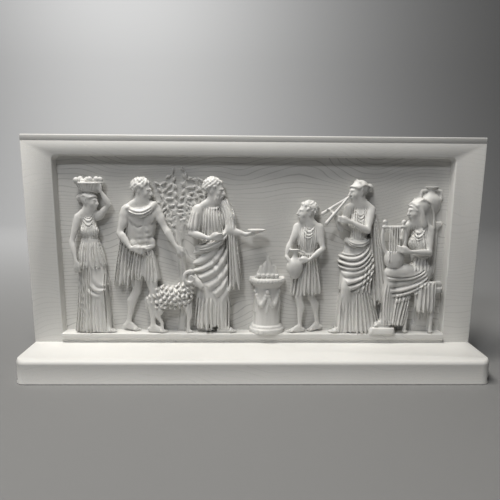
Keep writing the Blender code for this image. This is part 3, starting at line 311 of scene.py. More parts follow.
def arm(c, shoulder, elbow, wrist, size=1.0, strong=False):
    s, e, w = map(A, (shoulder, elbow, wrist))
    c.limb([s, mix(s, e, .18), mix(s, e, .42)], A((.215, .235, .17)) * size, blend=.08)
    c.limb([s, mix(s, e, .3), mix(s, e, .55), mix(s, e, .82), e], A((.19, .19, .195, .15, .14)) * size,
           blend=.05)
    c.limb([e, mix(e, w, .22), mix(e, w, .5), mix(e, w, .8), w], A((.145, .178, .155, .105, .088)) * size,
           blend=.05)
    if strong:
        c.ball(mix(s, e, .5) + A((.05, 0, .07)), (.15, .26, .14), (1, 0, 0), s - e, blend=.05)
        c.ball(mix(e, w, .22) + A((0, .03, .05)), A((.14, .16, .13)), blend=.06)


def hand(c, wrist, way, across, curl, size=1.0, fingers=4):
    """way: along the fingers, across: over the knuckles, curl: towards the palm"""
    w, way, across, curl = A(wrist, float), unit(way), unit(across), unit(curl)
    knuckle = w + way * .36 * size
    for k in (-1, 1):
        c.limb([w, knuckle + across * .09 * k * size], A((.085, .09)) * size, blend=.04)
    for i in range(fingers):
        o = (i - (fingers - 1) / 2) * .09 * size
        base = knuckle + across * o
        mid = base + way * .18 * size + curl * .05 * size
        tip = mid + way * .1 * size + curl * .13 * size
        c.limb([base, mid, tip], A((.056, .05, .04)) * size, blend=.01)
    thumb = w + way * .12 * size + across * .1 * size
    c.limb([thumb, thumb + way * .15 * size + across * .1 * size + curl * .05 * size,
            thumb + way * .3 * size + across * .1 * size + curl * .12 * size],
           A((.07, .058, .044)) * size, blend=.02)


def bare_foot(c, ankle, toe, size=1.0):
    a, t = A(ankle, float), A(toe, float)
    way = unit((t[0] - a[0], 0, t[2] - a[2]))
    heel = a - way * .17 + A((0, -.17, 0))
    heel[1] = max(heel[1], .1)
    ball = mix(a, t, .66)
    ball[1] = t[1] + .05
    c.limb([heel, ball], A((.125, .115)) * size, blend=.08)
    c.limb([a, mix(a, ball, .5) + A((0, .03, 0)), ball], A((.12, .11, .08)) * size, blend=.08)
    across = unit((-way[2], 0, way[0]))
    for i in range(5):
        o = (i - 2) * .066
        tip = t + across * o - way * .035 * i
        c.limb([ball + across * o * 1.1, tip], A((.06, .052 - .004 * i)) * size, blend=.02)


def leg(c, hip, knee, ankle, toe, size=1.0, back=(-1, 0, 0)):
    h, k, a, b = map(A, (hip, knee, ankle, back))
    b = unit(b)
    c.limb([h, mix(h, k, .25), mix(h, k, .6), mix(h, k, .85), k],
           A((.37, .365, .31, .23, .195)) * size, blend=.08)
    c.ball(mix(h, k, .72) - b * .1 + A((0, 0, .08)), A((.17, .34, .14)) * size, (1, 0, 0), h - k, blend=.06)
    c.limb([k, mix(k, a, .14) + b * .03, mix(k, a, .32) + b * .09, mix(k, a, .62) + b * .04, a],
           A((.185, .2, .235, .15, .1)) * size, blend=.05)
    c.ball(k - b * .09 + A((0, .02, .04)), A((.13, .14, .14)) * size, blend=.05)
    c.ball(k - b * .1 + A((0, -.17, .02)), A((.08, .08, .1)) * size, blend=.05)
    c.ball(a + A((0, -.03, .1)), A((.05, .05, .05)) * size, blend=.03)
    bare_foot(c, a, toe, size)


def trunk(c, left, right, pelvis, hips, front, kind="man"):
    """left and right shoulder as seen, pelvis centre, half width of the hips; only a man's muscles show"""
    l, r, p = map(A, (left, right, pelvis))
    mid = (l + r) / 2
    across, up = unit(r - l), unit(mid - p)
    f = unit(A(front, float) - up * (up @ A(front, float)))
    wide = np.linalg.norm(r - l) / 2
    neck = mid + up * .3
    for s in (l, r):
        c.limb([s, mix(s, neck, .5) + up * .03, neck], (.19, .2, .2), blend=.1)
    man = kind in ("man", "robed")
    c.ball(mid - up * .72, (wide * (.88 if man else .82), .82, .44 if man else .38), across, up, blend=.12)
    waist = mix(mid - up * .72, p, .52)
    c.ball(waist, (wide * (.76 if man else .66), .62, .35), across, up, blend=.16)
    c.ball(p, (hips, .46, .42), across, up, blend=.14)
    c.limb([neck - up * .1, neck + up * .28 + f * .04], (.225, .205), blend=.1)

    def at(a, b, d):
        return mid + across * wide * a + up * b + f * d

    def lump(where, radii, blend, cut=False):
        c.ball(at(*where), radii, across, up, blend=blend, cut=cut)

    def strand(points, radii, blend, cut=False):
        c.limb([at(*p) for p in points], radii, blend=blend, cut=cut)

    if kind == "woman":
        for s in (-1, 1):
            lump((.46 * s, -.72, .27), (.21, .22, .17), .14)
    if kind != "man":
        return
    for s in (-1, 1):
        strand([(.95 * s, -.3, -.05), (.72 * s, -1.25, -.02)], (.2, .17), .1)
        lump((.45 * s, -.42, .27), (wide * .5, .33, .17), .04)
        strand([(.12 * s, -.8, .4), (.45 * s, -.86, .4), (.8 * s, -.66, .3)], (.03, .035, .03), .04, cut=True)
        strand([(.08 * s, -.05, .24), (.8 * s, .04, .12)], (.06, .05), .05)
        for row in range(3):
            lump((.21 * s, -1.02 - .25 * row, .33 - .01 * row), (.155, .125, .12), .03)
            c.ball(at((.6 - .04 * row) * s, -.92 - .17 * row, .2), (.14, .06, .1), across + up * .4 * s, up,
                   blend=.09)
        c.ball(p + up * .42 + across * s * wide * .62 + f * .14, (.2, .24, .22), across, up, blend=.06)
        c.limb([p + up * .3 + across * s * wide * .8 + f * .3,
                p - up * .12 + across * s * wide * .25 + f * .42],
               (.035, .03), blend=.03, cut=True)
    strand([(0, -.2, .44), (0, -.7, .47), (0, -1.55, .46)], (.045, .055, .045), .04, cut=True)
    lump((0, -1.68, .38), (.05, .05, .07), .03, cut=True)


def features(lump, strand):
    """neck, skull, brow, eyes, ears, nose and mouth"""
    strand([(0, -.62, -.14), (0, -.2, -.08)], (.2, .2), .1)
    lump((0, .12, -.06), (.335, .37, .41), .05)
    lump((0, -.1, .1), (.25, .36, .3), .1)
    lump((0, -.36, .2), (.14, .12, .14), .08)
    strand([(-.17, .1, .33), (0, .11, .39), (.17, .1, .33)], (.045, .055, .045), .03)
    for k in (-1, 1):
        lump((.135 * k, .015, .42), (.09, .06, .07), .04, cut=True)
        lump((.13 * k, .015, .325), (.062, .04, .055), .005)
        lump((.17 * k, -.1, .27), (.1, .09, .08), .08)
        lump((.325 * k, -.03, -.02), (.05, .12, .075), .03)
    strand([(0, .08, .395), (0, -.02, .455), (0, -.1, .495)], (.038, .045, .056), .03)
    lump((0, -.11, .44), (.09, .042, .065), .03)
    strand([(-.08, -.215, .38), (0, -.205, .435), (.08, -.215, .38)], (.022, .034, .022), .02)
    strand([(-.07, -.27, .37), (0, -.272, .42), (.07, -.27, .37)], (.024, .036, .024), .02)
    strand([(-.1, -.238, .41), (0, -.238, .47), (.1, -.238, .41)], (.015, .015, .015), .01, cut=True)


def veil(lump, strand):
    """a fringe of waves under cloth that falls behind the shoulders"""
    lump((0, .16, -.16), (.43, .44, .43), .05)
    strand([(-.3, .28, .16), (0, .4, .24), (.3, .28, .16)], (.07, .07, .07), .02)
    for k in (-1, 1):
        strand([(.3 * k, .28, .16), (.39 * k, -.05, .0), (.38 * k, -.6, -.14)], (.07, .1, .14), .05)
        for j in range(5):
            strand([(.03 * k, .29, .345), ((.1 + .05 * j) * k, .26 - .05 * j, .33 - .035 * j)],
                   (.034, .038), .008)
    strand([(0, .2, -.3), (0, -.3, -.42), (0, -.85, -.38)], (.34, .3, .34), .06)
    for k in (-2, -1, 0, 1, 2):
        strand([(.1 * k, .38, .16), (.17 * k, .52, -.14), (.18 * k, .34, -.5), (.17 * k, -.2, -.68),
                (.18 * k, -.85, -.66)], (.03, .045, .05, .05, .06), .02)


def knot(lump, strand):
    """waves drawn back under a band into a knot"""
    lump((0, .17, -.1), (.37, .375, .41), .03)
    lump((0, .14, -.58), (.19, .2, .19), .03)
    for j in range(9):
        a = -1.25 + 2.5 * j / 8
        strand([(.34 * np.sin(a), .16 + .12 * np.cos(a), .27 * np.cos(a) + .07),
                (.4 * np.sin(a * .9), .26 + .2 * np.cos(a), -.1), (.17 * np.sin(a), .2, -.52)],
                (.05, .058, .05), .006)
    strand([(-.39, .12, .0), (-.25, .46, .05), (0, .55, .06), (.25, .46, .05), (.39, .12, .0)],
           (.036, .04, .042, .04, .036), .006)


LOCKS = 100
GOLDEN_TURN = 2.399963      # radians from one lock of the spiral to the next


def short_curls(c, at, lump, axes, size, seed):
    """locks spread over the skull in a spiral, except on the face and the ears' fronts"""
    s, h, f = axes
    rng = np.random.default_rng(seed)
    lump((0, .17, -.1), (.37, .385, .42), .03)
    for i in range(LOCKS):
        y = 1 - 1.42 * (i + .5) / LOCKS
        ring = np.sqrt(max(0, 1 - y * y))
        a = GOLDEN_TURN * i
        x, z = ring * np.sin(a), ring * np.cos(a)
        if (z > .55 and y < .42) or (y < -.05 and z > -.1):
            continue
        j = rng.uniform(-1, 1, 4)
        p = at(.38 * x + .02 * j[0], .17 + .4 * y, -.1 + .44 * z)
        q = p + (s * .07 * j[1] - h * .05 + f * .07 * j[2]) * size
        c.limb([p, q], A((.07 + .018 * j[3], .045)) * size, blend=.004)


def beard_locks(c, at, lump, strand, axes, size):
    """four rows of locks round the chin, and a moustache"""
    s, h, f = axes
    lump((0, -.38, .18), (.21, .2, .19), .04)
    for i in range(24):
        a = -1.35 + 2.7 * (i % 6 + .5 * (i // 6 % 2)) / 5.5
        row = i // 6
        p = at(.24 * np.sin(a), -.22 - .085 * row, .14 + .23 * np.cos(a) * (1 - .08 * row))
        q = p + (s * .05 * np.sin(a + row) - h * .085 + f * .02) * size
        c.limb([p, q], A((.058, .038)) * size, blend=.004)
    for k in (-1, 1):
        strand([(.02 * k, -.18, .44), (.13 * k, -.25, .38)], (.034, .03), .008)


def head(c, centre, face, style="curls", beard=False, size=1.0, seed=3):
    """face: the way it looks; everything hangs on three axes of its own"""
    c0, f, h = A(centre, float), unit(face), A((0, 1, 0), float)
    h = unit(h - f * (h @ f))
    s = np.cross(h, f)

    def at(a, b, d):
        return c0 + (s * a + h * b + f * d) * size

    def lump(where, radii, blend, cut=False):
        c.ball(at(*where), A(radii) * size, s, h, blend=blend, cut=cut)

    def strand(points, radii, blend, cut=False):
        c.limb([at(*p) for p in points], A(radii) * size, blend=blend, cut=cut)

    features(lump, strand)
    if style == "curls":
        short_curls(c, at, lump, (s, h, f), size, seed)
    else:
        {"veil": veil, "knot": knot}[style](lump, strand)
    if beard:
        beard_locks(c, at, lump, strand, (s, h, f), size)


# figures

def basket_bearer(c):
    c.start(-73.0, HEAD * .925, plane=FAR)
    skirt = [(4.55, 0, .02, .42, .36), (3.85, 0, .02, .64, .46), (2.7, .02, .0, .74, .52),
             (1.2, 0, -.02, .86, .54), (.06, -.02, -.02, 1.0, .58)]
    over = [(4.8, 0, .02, .44, .38), (4.3, 0, .03, .6, .47), (3.5, 0, .02, .76, .56)]
    bare_foot(c, (.52, .26, .3), (1.12, .07, .45))
    bare_foot(c, (-.75, .3, -.05), (-.32, .07, .1))
    c.loft(skirt, blend=.1)
    c.limb([(.12, 3.7, .12), (.42, 2.25, .44), (.42, 1.2, .36), (.5, .4, .3)], (.36, .27, .2, .16), blend=.14)
    c.folds([(-.6, 3.9), (.0, 3.9), (-1.02, .03), (.02, .03)], 6, .15, bow=(.05, 0), ends=(.1, .01), seed=3)
    c.folds([(.62, 3.3), (.8, 3.3), (.6, .03), (1.0, .03)], 2, .13, ends=(.2, .01), seed=4)
    c.folds([(-.1, 3.2), (-.05, 2.5), (.72, 2.6), (.66, 1.9)], 2, .07, bow=(0, -.3), seed=6)
    c.folds([(.1, 1.9), (.6, 1.9), (.0, .03), (.62, .03)], 3, .09, ends=(.3, .01), seed=7)
    c.loft(over, blend=.02, hem=.12)
    c.folds([(-.5, 4.75), (.5, 4.75), (-.8, 3.4), (.8, 3.4)], 9, .11, ends=(.1, .01), seed=9)
    trunk(c, (-.50, 5.95, .22), (.44, 6.02, -.02), (0, 3.95, 0), .58, (.35, 0, 1), "woman")
    c.folds([(-.55, 5.95), (-.08, 6.1), (-.42, 4.8), (.0, 4.8)], 5, .075, bow=(.03, 0), seed=11)
    c.folds([(.06, 6.1), (.48, 6.0), (.0, 4.8), (.4, 4.8)], 5, .075, bow=(.06, 0), seed=12)
    c.folds([(-.34, 6.2), (-.22, 5.7), (.3, 6.25), (.24, 5.75)], 3, .09, bow=(0, -.3), seed=13)
    c.limb([(-.42, 4.78, .1), (-.2, 4.72, .36), (.1, 4.72, .4), (.38, 4.78, .2)], .065, blend=.01)
    arm(c, (-.52, 5.9, .25), (-.84, 4.75, .5), (-.62, 3.8, .82), .86)
    hand(c, (-.62, 3.8, .82), (.1, -1, .1), (1, .2, 0), (.2, -.2, -1), .85)
    arm(c, (.44, 5.95, .0), (1.02, 6.55, .16), (.64, 7.3, .3), .86)
    hand(c, (.66, 7.22, .3), (-.3, 1, .1), (.9, .3, .3), (-.9, 0, -.2), .85)
    head(c, (.08, 6.72, .14), (1, -.05, .42), "knot", size=.98)
    c.limb([(-.26, 7.26, .1), (.44, 7.26, .1)], .15, blend=.02)
    c.loft([(7.2, .09, .08, .44, .42), (7.42, .09, .08, .56, .5), (7.66, .09, .08, .7, .58)], blend=.01)
    c.folds([(-.4, 7.2), (.55, 7.2), (-.6, 7.62), (.78, 7.62)], 9, .05, ends=(.05, .05), seed=14, wobble=0)
    for k in range(8):
        x = -.47 + .16 * k
        c.ball((x, 7.76 + .07 * np.sin(2.2 * k), .26 + .12 * np.cos(3 * k)), (.15, .15, .16), blend=.006)
    c.limb([(-.6, 7.63, .2), (-.3, 7.63, .52), (.09, 7.63, .66), (.5, 7.63, .52), (.78, 7.63, .2)], .055,
           blend=.006)
    c.done()


def youth(c):
    """bare youth with a short cloak who leads a ram"""
    c.start(-50.0, HEAD, plane=FAR, reach=(-2.6, 3.2))
    cloak = [(6.0, -.3, -.12, .42, .34), (5.0, -.62, -.16, .38, .34), (3.6, -.8, -.15, .42, .34),
             (2.25, -.9, -.14, .52, .36)]
    kilt = [(4.15, 0, .06, .5, .42), (3.6, 0, .06, .62, .5), (2.6, .04, .06, .78, .54)]
    c.loft(cloak, blend=.05, hem=.25)
    c.folds([(-.7, 5.9), (-.1, 5.9), (-1.45, 2.2), (-.35, 2.2)], 6, .16, bow=(-.05, 0), ends=(.1, .01),
            seed=21)
    leg(c, (-.18, 3.7, -.05), (-.34, 2.05, .02), (-.8, .42, -.1), (-.28, .07, .0))
    leg(c, (.18, 3.7, .14), (.5, 2.05, .4), (.42, .32, .3), (1.05, .07, .45), back=(-.9, 0, -.3))
    trunk(c, (-.62, 5.9, .28), (.6, 6.02, .12), (0, 3.9, .06), .52, (.35, 0, 1))
    c.loft(kilt, blend=.02, hem=.22)
    c.folds([(-.5, 4.15), (.15, 4.15), (-.8, 2.55), (-.05, 2.55)], 5, .13, ends=(.1, .01), seed=23)
    c.folds([(.15, 4.15), (.52, 4.15), (.1, 2.55), (.9, 2.55)], 4, .13, bow=(.06, 0), ends=(.1, .01), seed=24)
    c.limb([(-.52, 4.05, .2), (-.22, 4.0, .48), (.2, 4.06, .52), (.54, 4.2, .26)], (.1, .12, .12, .1),
           blend=.01)
    c.folds([(-.5, 4.22), (-.5, 3.88), (.52, 4.34), (.52, 4.02)], 3, .04, ends=(.1, .1), seed=28)
    # the cloak crosses the collar and is pinned on the near shoulder
    c.limb([(-.6, 5.98, .36), (-.34, 5.76, .56), (.02, 5.68, .6), (.36, 5.85, .5), (.62, 6.1, .26)],
           (.14, .16, .17, .17, .16), blend=.03)
    c.folds([(-.62, 6.15), (-.55, 5.75), (.64, 6.25), (.58, 5.85)], 3, .06, bow=(0, -.24), ends=(.15, .15),
            seed=25)
    c.ball((-.52, 5.96, .56), (.11, .11, .1), blend=.01)
    arm(c, (-.66, 5.84, .3), (-.95, 4.8, .48), (-.42, 4.12, .86), 1.05, True)
    hand(c, (-.42, 4.14, .86), (1, -.25, .1), (.2, 1, 0), (.1, 0, -1), .95)
    arm(c, (.66, 5.92, .12), (1.12, 4.98, .32), (1.6, 4.2, .6), 1.03, True)
    hand(c, (1.6, 4.22, .6), (.55, -.8, .1), (.8, .5, 0), (-.2, 0, -1), .95)
    # the cord to the ram's neck
    c.limb([(1.86, 4.02, .66), (1.9, 3.5, .6), (2.02, 3.0, .56), (2.24, 2.6, .6)], .045, blend=.01)
    head(c, (.1, 6.72, .2), (1, -.14, .38), "curls", size=1.0)
    c.done()


def ram(c):
    """stands to the right, head raised"""
    c.start(-37.6, HEAD * .96, plane=FAR)
    for x, d in ((-.72, -.15), (.56, -.15), (-.52, .4), (.84, .4)):
        hind = x < 0
        k = A((x + (-.14 if hind else .06), .88, d))
        foot_x = x + (.06 if hind else .0)
        c.limb([(x + (.05 if hind else -.02), 1.5, d), k], (.3 if hind else .22, .14), blend=.08)
        c.limb([k, (foot_x, .5, d), (foot_x, .14, d)], (.12, .085, .095), blend=.02)
        c.limb([(foot_x, .09, d), (foot_x + .14, .07, d + .02)], (.11, .085), blend=.01)
    c.ball((0, 1.8, .1), (1.08, .55, .58), blend=.1)
    c.ball((.55, 1.92, .18), (.52, .58, .54), blend=.1)
    c.ball((-.62, 1.86, .12), (.52, .52, .5), blend=.1)
    c.limb([(.7, 2.05, .25), (1.02, 2.65, .45)], (.44, .29), blend=.1)
    c.limb([(-1.0, 2.0, .15), (-1.2, 1.65, .15), (-1.18, 1.2, .15)], (.12, .12, .08), blend=.04)
    c.curls((-.1, 1.78), (1.2, .66), .23, .17, seed=4)
    c.curls((.78, 2.25), (.5, .6), .21, .15, seed=5)
    # the head turns a little out of the ground
    c.limb([(1.06, 2.82, .56), (1.36, 2.6, .72), (1.52, 2.42, .8)], (.23, .18, .125), blend=.04)
    c.ball((1.08, 2.88, .56), (.24, .2, .2), blend=.05)
    c.ball((1.22, 2.84, .78), (.05, .045, .05), blend=.01)
    c.limb([(1.5, 2.4, .93), (1.6, 2.42, .9)], (.02, .02), blend=.01, cut=True)
    c.limb([(.92, 2.66, .7), (.76, 2.5, .74)], (.07, .045), blend=.02)
    t = np.linspace(0, 1, 26)
    a, r = 1.2 + t * 6.4, .34 - .2 * t
    horn = [A((.98 + r[i] * np.cos(a[i]), 2.84 + r[i] * np.sin(a[i]), .72 + .18 * t[i])) for i in range(26)]
    c.limb(horn, .11 - .07 * t, blend=.005)
    c.done()


def priest(c):
    """bearded man in a mantle, pouring from a dish"""
    c.start(-18.5, HEAD, plane=FAR)
    mantle = [(4.5, -.02, .05, .58, .44), (3.8, -.02, .05, .72, .5), (2.4, .0, .05, .78, .54),
              (1.2, -.04, .03, .8, .54), (.25, -.08, .0, .84, .56)]
    hang = [(4.9, .86, .32, .24, .28), (3.6, .97, .32, .28, .3), (2.2, 1.02, .3, .36, .3)]
    bare_foot(c, (-.5, .26, -.05), (-.02, .07, .1))
    bare_foot(c, (.45, .26, .3), (1.05, .07, .42))
    c.loft(mantle, blend=.1, hem=.12)
    c.limb([(.15, 3.7, .2), (.5, 2.15, .54), (.46, 1.2, .42), (.47, .45, .3)], (.36, .28, .2, .15), blend=.14)
    c.folds([(-.8, 1.75), (.1, 1.9), (-.95, .2), (.1, .2)], 5, .15, ends=(.2, .01), seed=33)
    c.folds([(.66, 2.0), (.84, 2.0), (.6, .2), (.86, .2)], 2, .12, ends=(.25, .01), seed=34)
    c.folds([(.12, 1.7), (.62, 1.7), (.08, .2), (.6, .2)], 3, .08, ends=(.3, .01), seed=37)
    trunk(c, (-.64, 5.9, .28), (.62, 6.02, .14), (0, 3.95, .06), .58, (.4, 0, 1), "robed")
    c.limb([(-.66, 5.86, .28), (-.86, 5.12, .45)], (.27, .3), blend=.03)
    c.limb([(-.34, 6.14, .24), (-.1, 5.92, .44), (.2, 5.94, .42), (.42, 6.2, .16)], .055, blend=.02)
    c.folds([(-.5, 6.0), (.42, 6.05), (-.62, 4.2), (.6, 4.7)], 8, .11, bow=(.02, -.05), ends=(.1, .05),
            seed=39)
    c.folds([(-.95, 5.8), (-.5, 5.9), (-1.12, 5.0), (-.6, 4.95)], 3, .08, ends=(.2, .01), seed=40)
    # the mantle is drawn across, its rolled upper edge rises from the hip
    c.folds([(.5, 4.95), (.78, 3.5), (-.8, 4.1), (-.85, 1.5)], 7, .14, bow=(.1, -.28), ends=(.06, .06),
            sides=.05, seed=31)
    c.folds([(.72, 4.2), (.8, 3.3), (.3, 2.3), (.84, 1.9)], 3, .1, bow=(.1, 0), ends=(.15, .2), seed=38)
    roll = [(-.7, 4.1, .28), (-.28, 4.12, .58), (.28, 4.4, .66), (.66, 4.9, .48)]
    c.limb(roll, (.14, .18, .18, .16), blend=.02)
    c.folds([(-.75, 4.3), (-.7, 3.9), (.62, 5.1), (.78, 4.7)], 3, .07, bow=(.05, -.2), ends=(.1, .1), seed=32)
    # its end falls over the far shoulder and arm
    c.limb([(.52, 6.16, .12), (.8, 5.55, .32), (.84, 4.95, .44)], (.25, .28, .25), blend=.04)
    c.folds([(.25, 6.35), (.75, 6.3), (.62, 4.9), (1.1, 4.9)], 4, .1, bow=(.1, 0), seed=36)
    c.loft(hang, blend=.02, hem=.3)
    c.folds([(.62, 4.85), (1.1, 4.85), (.66, 2.1), (1.4, 2.1)], 4, .15, ends=(.08, .01), seed=35)
    arm(c, (-.68, 5.82, .28), (-.95, 4.8, .55), (-.14, 4.62, .95), 1.04)
    hand(c, (-.14, 4.62, .95), (1, .15, 0), (-.1, 1, .2), (.1, 0, -1), .95)
    arm(c, (.82, 5.0, .48), (.9, 4.9, .54), (1.55, 4.78, .68), 1.0)
    hand(c, (1.5, 4.78, .68), (1, .05, .1), (0, .2, 1), (0, 1, 0), .95)
    c.loft([(4.86, 2.0, .62, .16, .2), (4.92, 2.0, .62, .36, .36), (5.02, 2.0, .62, .42, .4)], blend=.006)
    head(c, (.1, 6.74, .22), (1, -.12, .4), "curls", beard=True, size=1.02, seed=7)
    c.done()


def altar(c):
    c.start(6.0, HEAD, plane=1.8)
    profile = [(0.0, .84), (.2, .84), (.24, .76), (.34, .74), (.4, .64), (2.22, .6), (2.3, .68), (2.4, .74),
               (2.46, .84), (2.66, .84)]
    for (z0, w0), (z1, w1) in zip(profile[:-1], profile[1:]):
        c.loft([(z0 - .01, 0, 0, w0, w0 * 1.15), (z1 + .01, 0, 0, w1, w1 * 1.15)], blend=0)

    def front(x, radius=.62):
        return 1.15 * np.sqrt(max(0.0, radius ** 2 - x ** 2))

    # garland in two loops, ribbons between them, and a beaded rim
    for s in (-1, 1):
        for v in np.linspace(0, 1, 13):
            x = s * (.02 + .52 * v)
            z = 2.02 - .62 * np.sin(np.pi * v)
            fat = .085 + .035 * np.sin(np.pi * v)
            c.ball((x, z, front(x) + .02), (fat, fat, .12), blend=.006)
    for x in (-.55, 0.0, .55):
        c.ball((x, 2.06, front(x) + .03), (.1, .1, .1), blend=.01)
        c.limb([(x, 1.98, front(x) + .02), (x + .05, 1.5, front(x)), (x - .02, 1.05, front(x))],
               (.04, .05, .06), blend=.01)
    for i in range(15):
        a = -1.35 + 2.7 * i / 14
        c.ball((.85 * np.sin(a), 2.56, .98 * np.cos(a)), (.05, .06, .05), blend=.004)
    for k in range(5):
        c.limb([(-.5 + .2 * k, 2.72, .3), (-.4 + .22 * k, 2.82, .5)], (.1, .09), blend=.006)
    rng = np.random.default_rng(6)
    for k in range(9):
        x = -.44 + .11 * k
        tall = .5 + .62 * np.exp(-(x / .26) ** 2) + rng.uniform(-.08, .08)
        t = np.linspace(0, 1, 9)
        sway = .1 * np.sin(5 * t + 1.3 * k) * t
        pts = [A((x * (1 - .45 * v) + w, 2.75 + tall * v, .22 + .1 * (k % 2))) for v, w in zip(t, sway)]
        c.limb(pts, A((.1, .13, .135, .125, .11, .09, .07, .045, .02)), blend=.01)
    c.done()


def child(c):
    """young attendant in a belted tunic, jug in hand, faces left"""
    c.start(24.0, HEAD, plane=FAR, mirror=-1.0)
    leg(c, (-.14, 3.1, 0), (-.24, 1.8, .05), (-.56, .4, -.05), (-.1, .07, .05), .84)
    leg(c, (.14, 3.1, .12), (.38, 1.75, .34), (.3, .32, .27), (.84, .07, .38), .84, back=(-.9, 0, -.3))
    tunic = [(3.95, 0, .05, .44, .38), (3.2, 0, .05, .58, .44), (1.9, .02, .05, .76, .5)]
    trunk(c, (-.46, 5.02, .22), (.44, 5.1, .07), (0, 3.3, .04), .46, (.4, 0, 1), "child")
    c.ball((0, 4.5, .12), (.5, .62, .42), blend=.1)
    c.folds([(-.5, 5.1), (-.02, 5.2), (-.42, 3.9), (.02, 3.9)], 5, .08, bow=(-.04, 0), seed=42)
    c.folds([(.02, 5.2), (.46, 5.1), (.02, 3.9), (.42, 3.9)], 5, .08, bow=(.04, 0), seed=43)
    c.folds([(-.3, 5.3), (-.24, 4.8), (.3, 5.35), (.22, 4.85)], 3, .08, bow=(0, -.26), seed=44)
    c.loft(tunic, blend=.03, hem=.16)
    c.folds([(-.45, 3.9), (.45, 3.9), (-.8, 1.85), (.82, 1.85)], 9, .13, ends=(.06, .01), seed=41)
    c.limb([(-.44, 3.9, .15), (-.16, 3.84, .42), (.15, 3.84, .45), (.43, 3.9, .22)], .065, blend=.01)
    for s in (-1, 1):
        c.limb([(.48 * s, 5.05, .1 - .08 * s), (.56 * s, 4.72, .18)], (.24, .2), blend=.04)
    arm(c, (-.5, 4.9, .25), (-.68, 4.1, .48), (-.02, 3.62, .8), .84)
    hand(c, (-.02, 3.62, .8), (1, -.1, 0), (0, 1, 0), (.1, 0, -1), .8)
    arm(c, (.48, 4.95, .1), (.86, 4.28, .32), (1.04, 3.72, .55), .84)
    c.loft([(2.72, .62, .6, .18, .18), (2.8, .62, .6, .2, .2), (3.15, .62, .6, .38, .36),
            (3.5, .62, .6, .34, .32),
            (3.72, .62, .6, .15, .15), (3.95, .62, .6, .14, .14), (4.1, .66, .6, .25, .22)], blend=.006)
    c.limb([(.42, 4.02, .6), (.18, 3.94, .6), (.16, 3.62, .6), (.32, 3.5, .6)], .05, blend=.01)
    hand(c, (1.0, 3.74, .6), (-.4, -.6, .4), (.5, .5, 0), (-1, 0, -.2), .8)
    head(c, (.1, 5.75, .17), (1, .12, .42), "curls", size=.97, seed=9)
    c.done()


def piper(c):
    """woman who plays two pipes, walks left"""
    c.start(46.5, HEAD, plane=FAR, mirror=-1.0)
    skirt = [(4.55, -.02, .02, .44, .36), (3.85, -.04, .02, .64, .46), (2.7, -.05, .0, .72, .52),
             (1.2, -.12, -.02, .9, .54), (.06, -.2, -.02, 1.12, .56)]
    wrap = [(4.5, -.02, .04, .54, .46), (3.9, -.02, .04, .72, .54), (3.0, .0, .04, .78, .58),
            (2.1, .05, .02, .78, .58)]
    hang = [(5.7, -.6, .0, .22, .28), (4.4, -.88, .0, .3, .3), (2.6, -1.06, -.02, .38, .32),
            (1.4, -1.16, -.04, .42, .32)]
    bare_foot(c, (.62, .26, .3), (1.2, .07, .42))
    bare_foot(c, (-1.0, .42, -.1), (-.5, .07, .0))
    c.loft(skirt, blend=.1)
    c.limb([(-.2, 3.5, -.05), (-.45, 2.1, 0), (-.8, .9, -.05)], (.34, .26, .22), blend=.14)
    c.limb([(.1, 3.7, .15), (.5, 2.25, .48), (.52, 1.2, .36), (.6, .35, .3)], (.36, .27, .2, .15), blend=.14)
    c.folds([(-.7, 2.1), (.15, 2.1), (-1.32, .03), (.05, .03)], 7, .16, ends=(.1, .01), seed=52)
    c.folds([(.68, 2.1), (.84, 2.1), (.62, .03), (.95, .03)], 2, .12, ends=(.2, .01), seed=53)
    c.folds([(.15, 1.8), (.62, 1.8), (.05, .03), (.62, .03)], 3, .09, ends=(.3, .01), seed=57)
    trunk(c, (-.5, 5.95, .22), (.48, 6.0, .07), (-.02, 3.95, 0), .58, (.45, 0, 1), "woman")
    c.folds([(-.54, 5.98), (-.04, 6.1), (-.44, 4.55), (.02, 4.55)], 5, .08, bow=(-.03, 0), seed=54)
    c.folds([(.04, 6.1), (.5, 6.0), (.02, 4.55), (.44, 4.55)], 5, .08, bow=(.06, 0), seed=55)
    c.folds([(-.36, 6.2), (-.3, 5.85), (.34, 6.2), (.28, 5.85)], 2, .06, bow=(0, -.5), seed=56)
    c.loft(wrap, blend=.03, hem=.1)
    c.folds([(-.6, 4.4), (-.85, 3.3), (.76, 4.2), (.9, 1.95)], 7, .14, bow=(0, -.42), ends=(.05, .05),
            sides=.05, seed=51)
    c.folds([(-.7, 3.6), (-.4, 3.3), (-.85, 2.0), (.0, 2.0)], 4, .12, ends=(.2, .02), seed=60)
    c.limb([(-.52, 4.5, .2), (-.12, 4.3, .52), (.3, 4.36, .56), (.58, 4.52, .3)], (.12, .15, .15, .12),
           blend=.01)
    c.folds([(-.55, 4.66), (-.5, 4.32), (.6, 4.68), (.55, 4.36)], 3, .06, bow=(0, -.2), ends=(.1, .1),
            seed=58)
    c.loft(hang, blend=.03, hem=.3)
    c.folds([(-.8, 5.6), (-.42, 5.6), (-1.6, 1.35), (-.72, 1.35)], 4, .16, ends=(.06, .01), seed=59)
    arm(c, (-.52, 5.88, .28), (-.34, 4.98, .76), (.55, 5.42, .86), .88)
    arm(c, (.52, 5.92, .08), (.84, 5.02, .34), (1.16, 5.6, .5), .88)
    hand(c, (.52, 5.4, .86), (1, .25, 0), (0, 1, .1), (.2, 0, -1), .85)
    hand(c, (1.14, 5.56, .53), (.6, .9, 0), (0, .3, 1), (.7, -.3, 0), .8)
    for end in ((1.6, 5.34, .95), (1.74, 5.74, .5)):
        c.limb([(.58, 6.5, .45), end], (.05, .085), blend=.005)
    head(c, (.1, 6.72, .17), (1, -.08, .42), "knot")
    c.done()


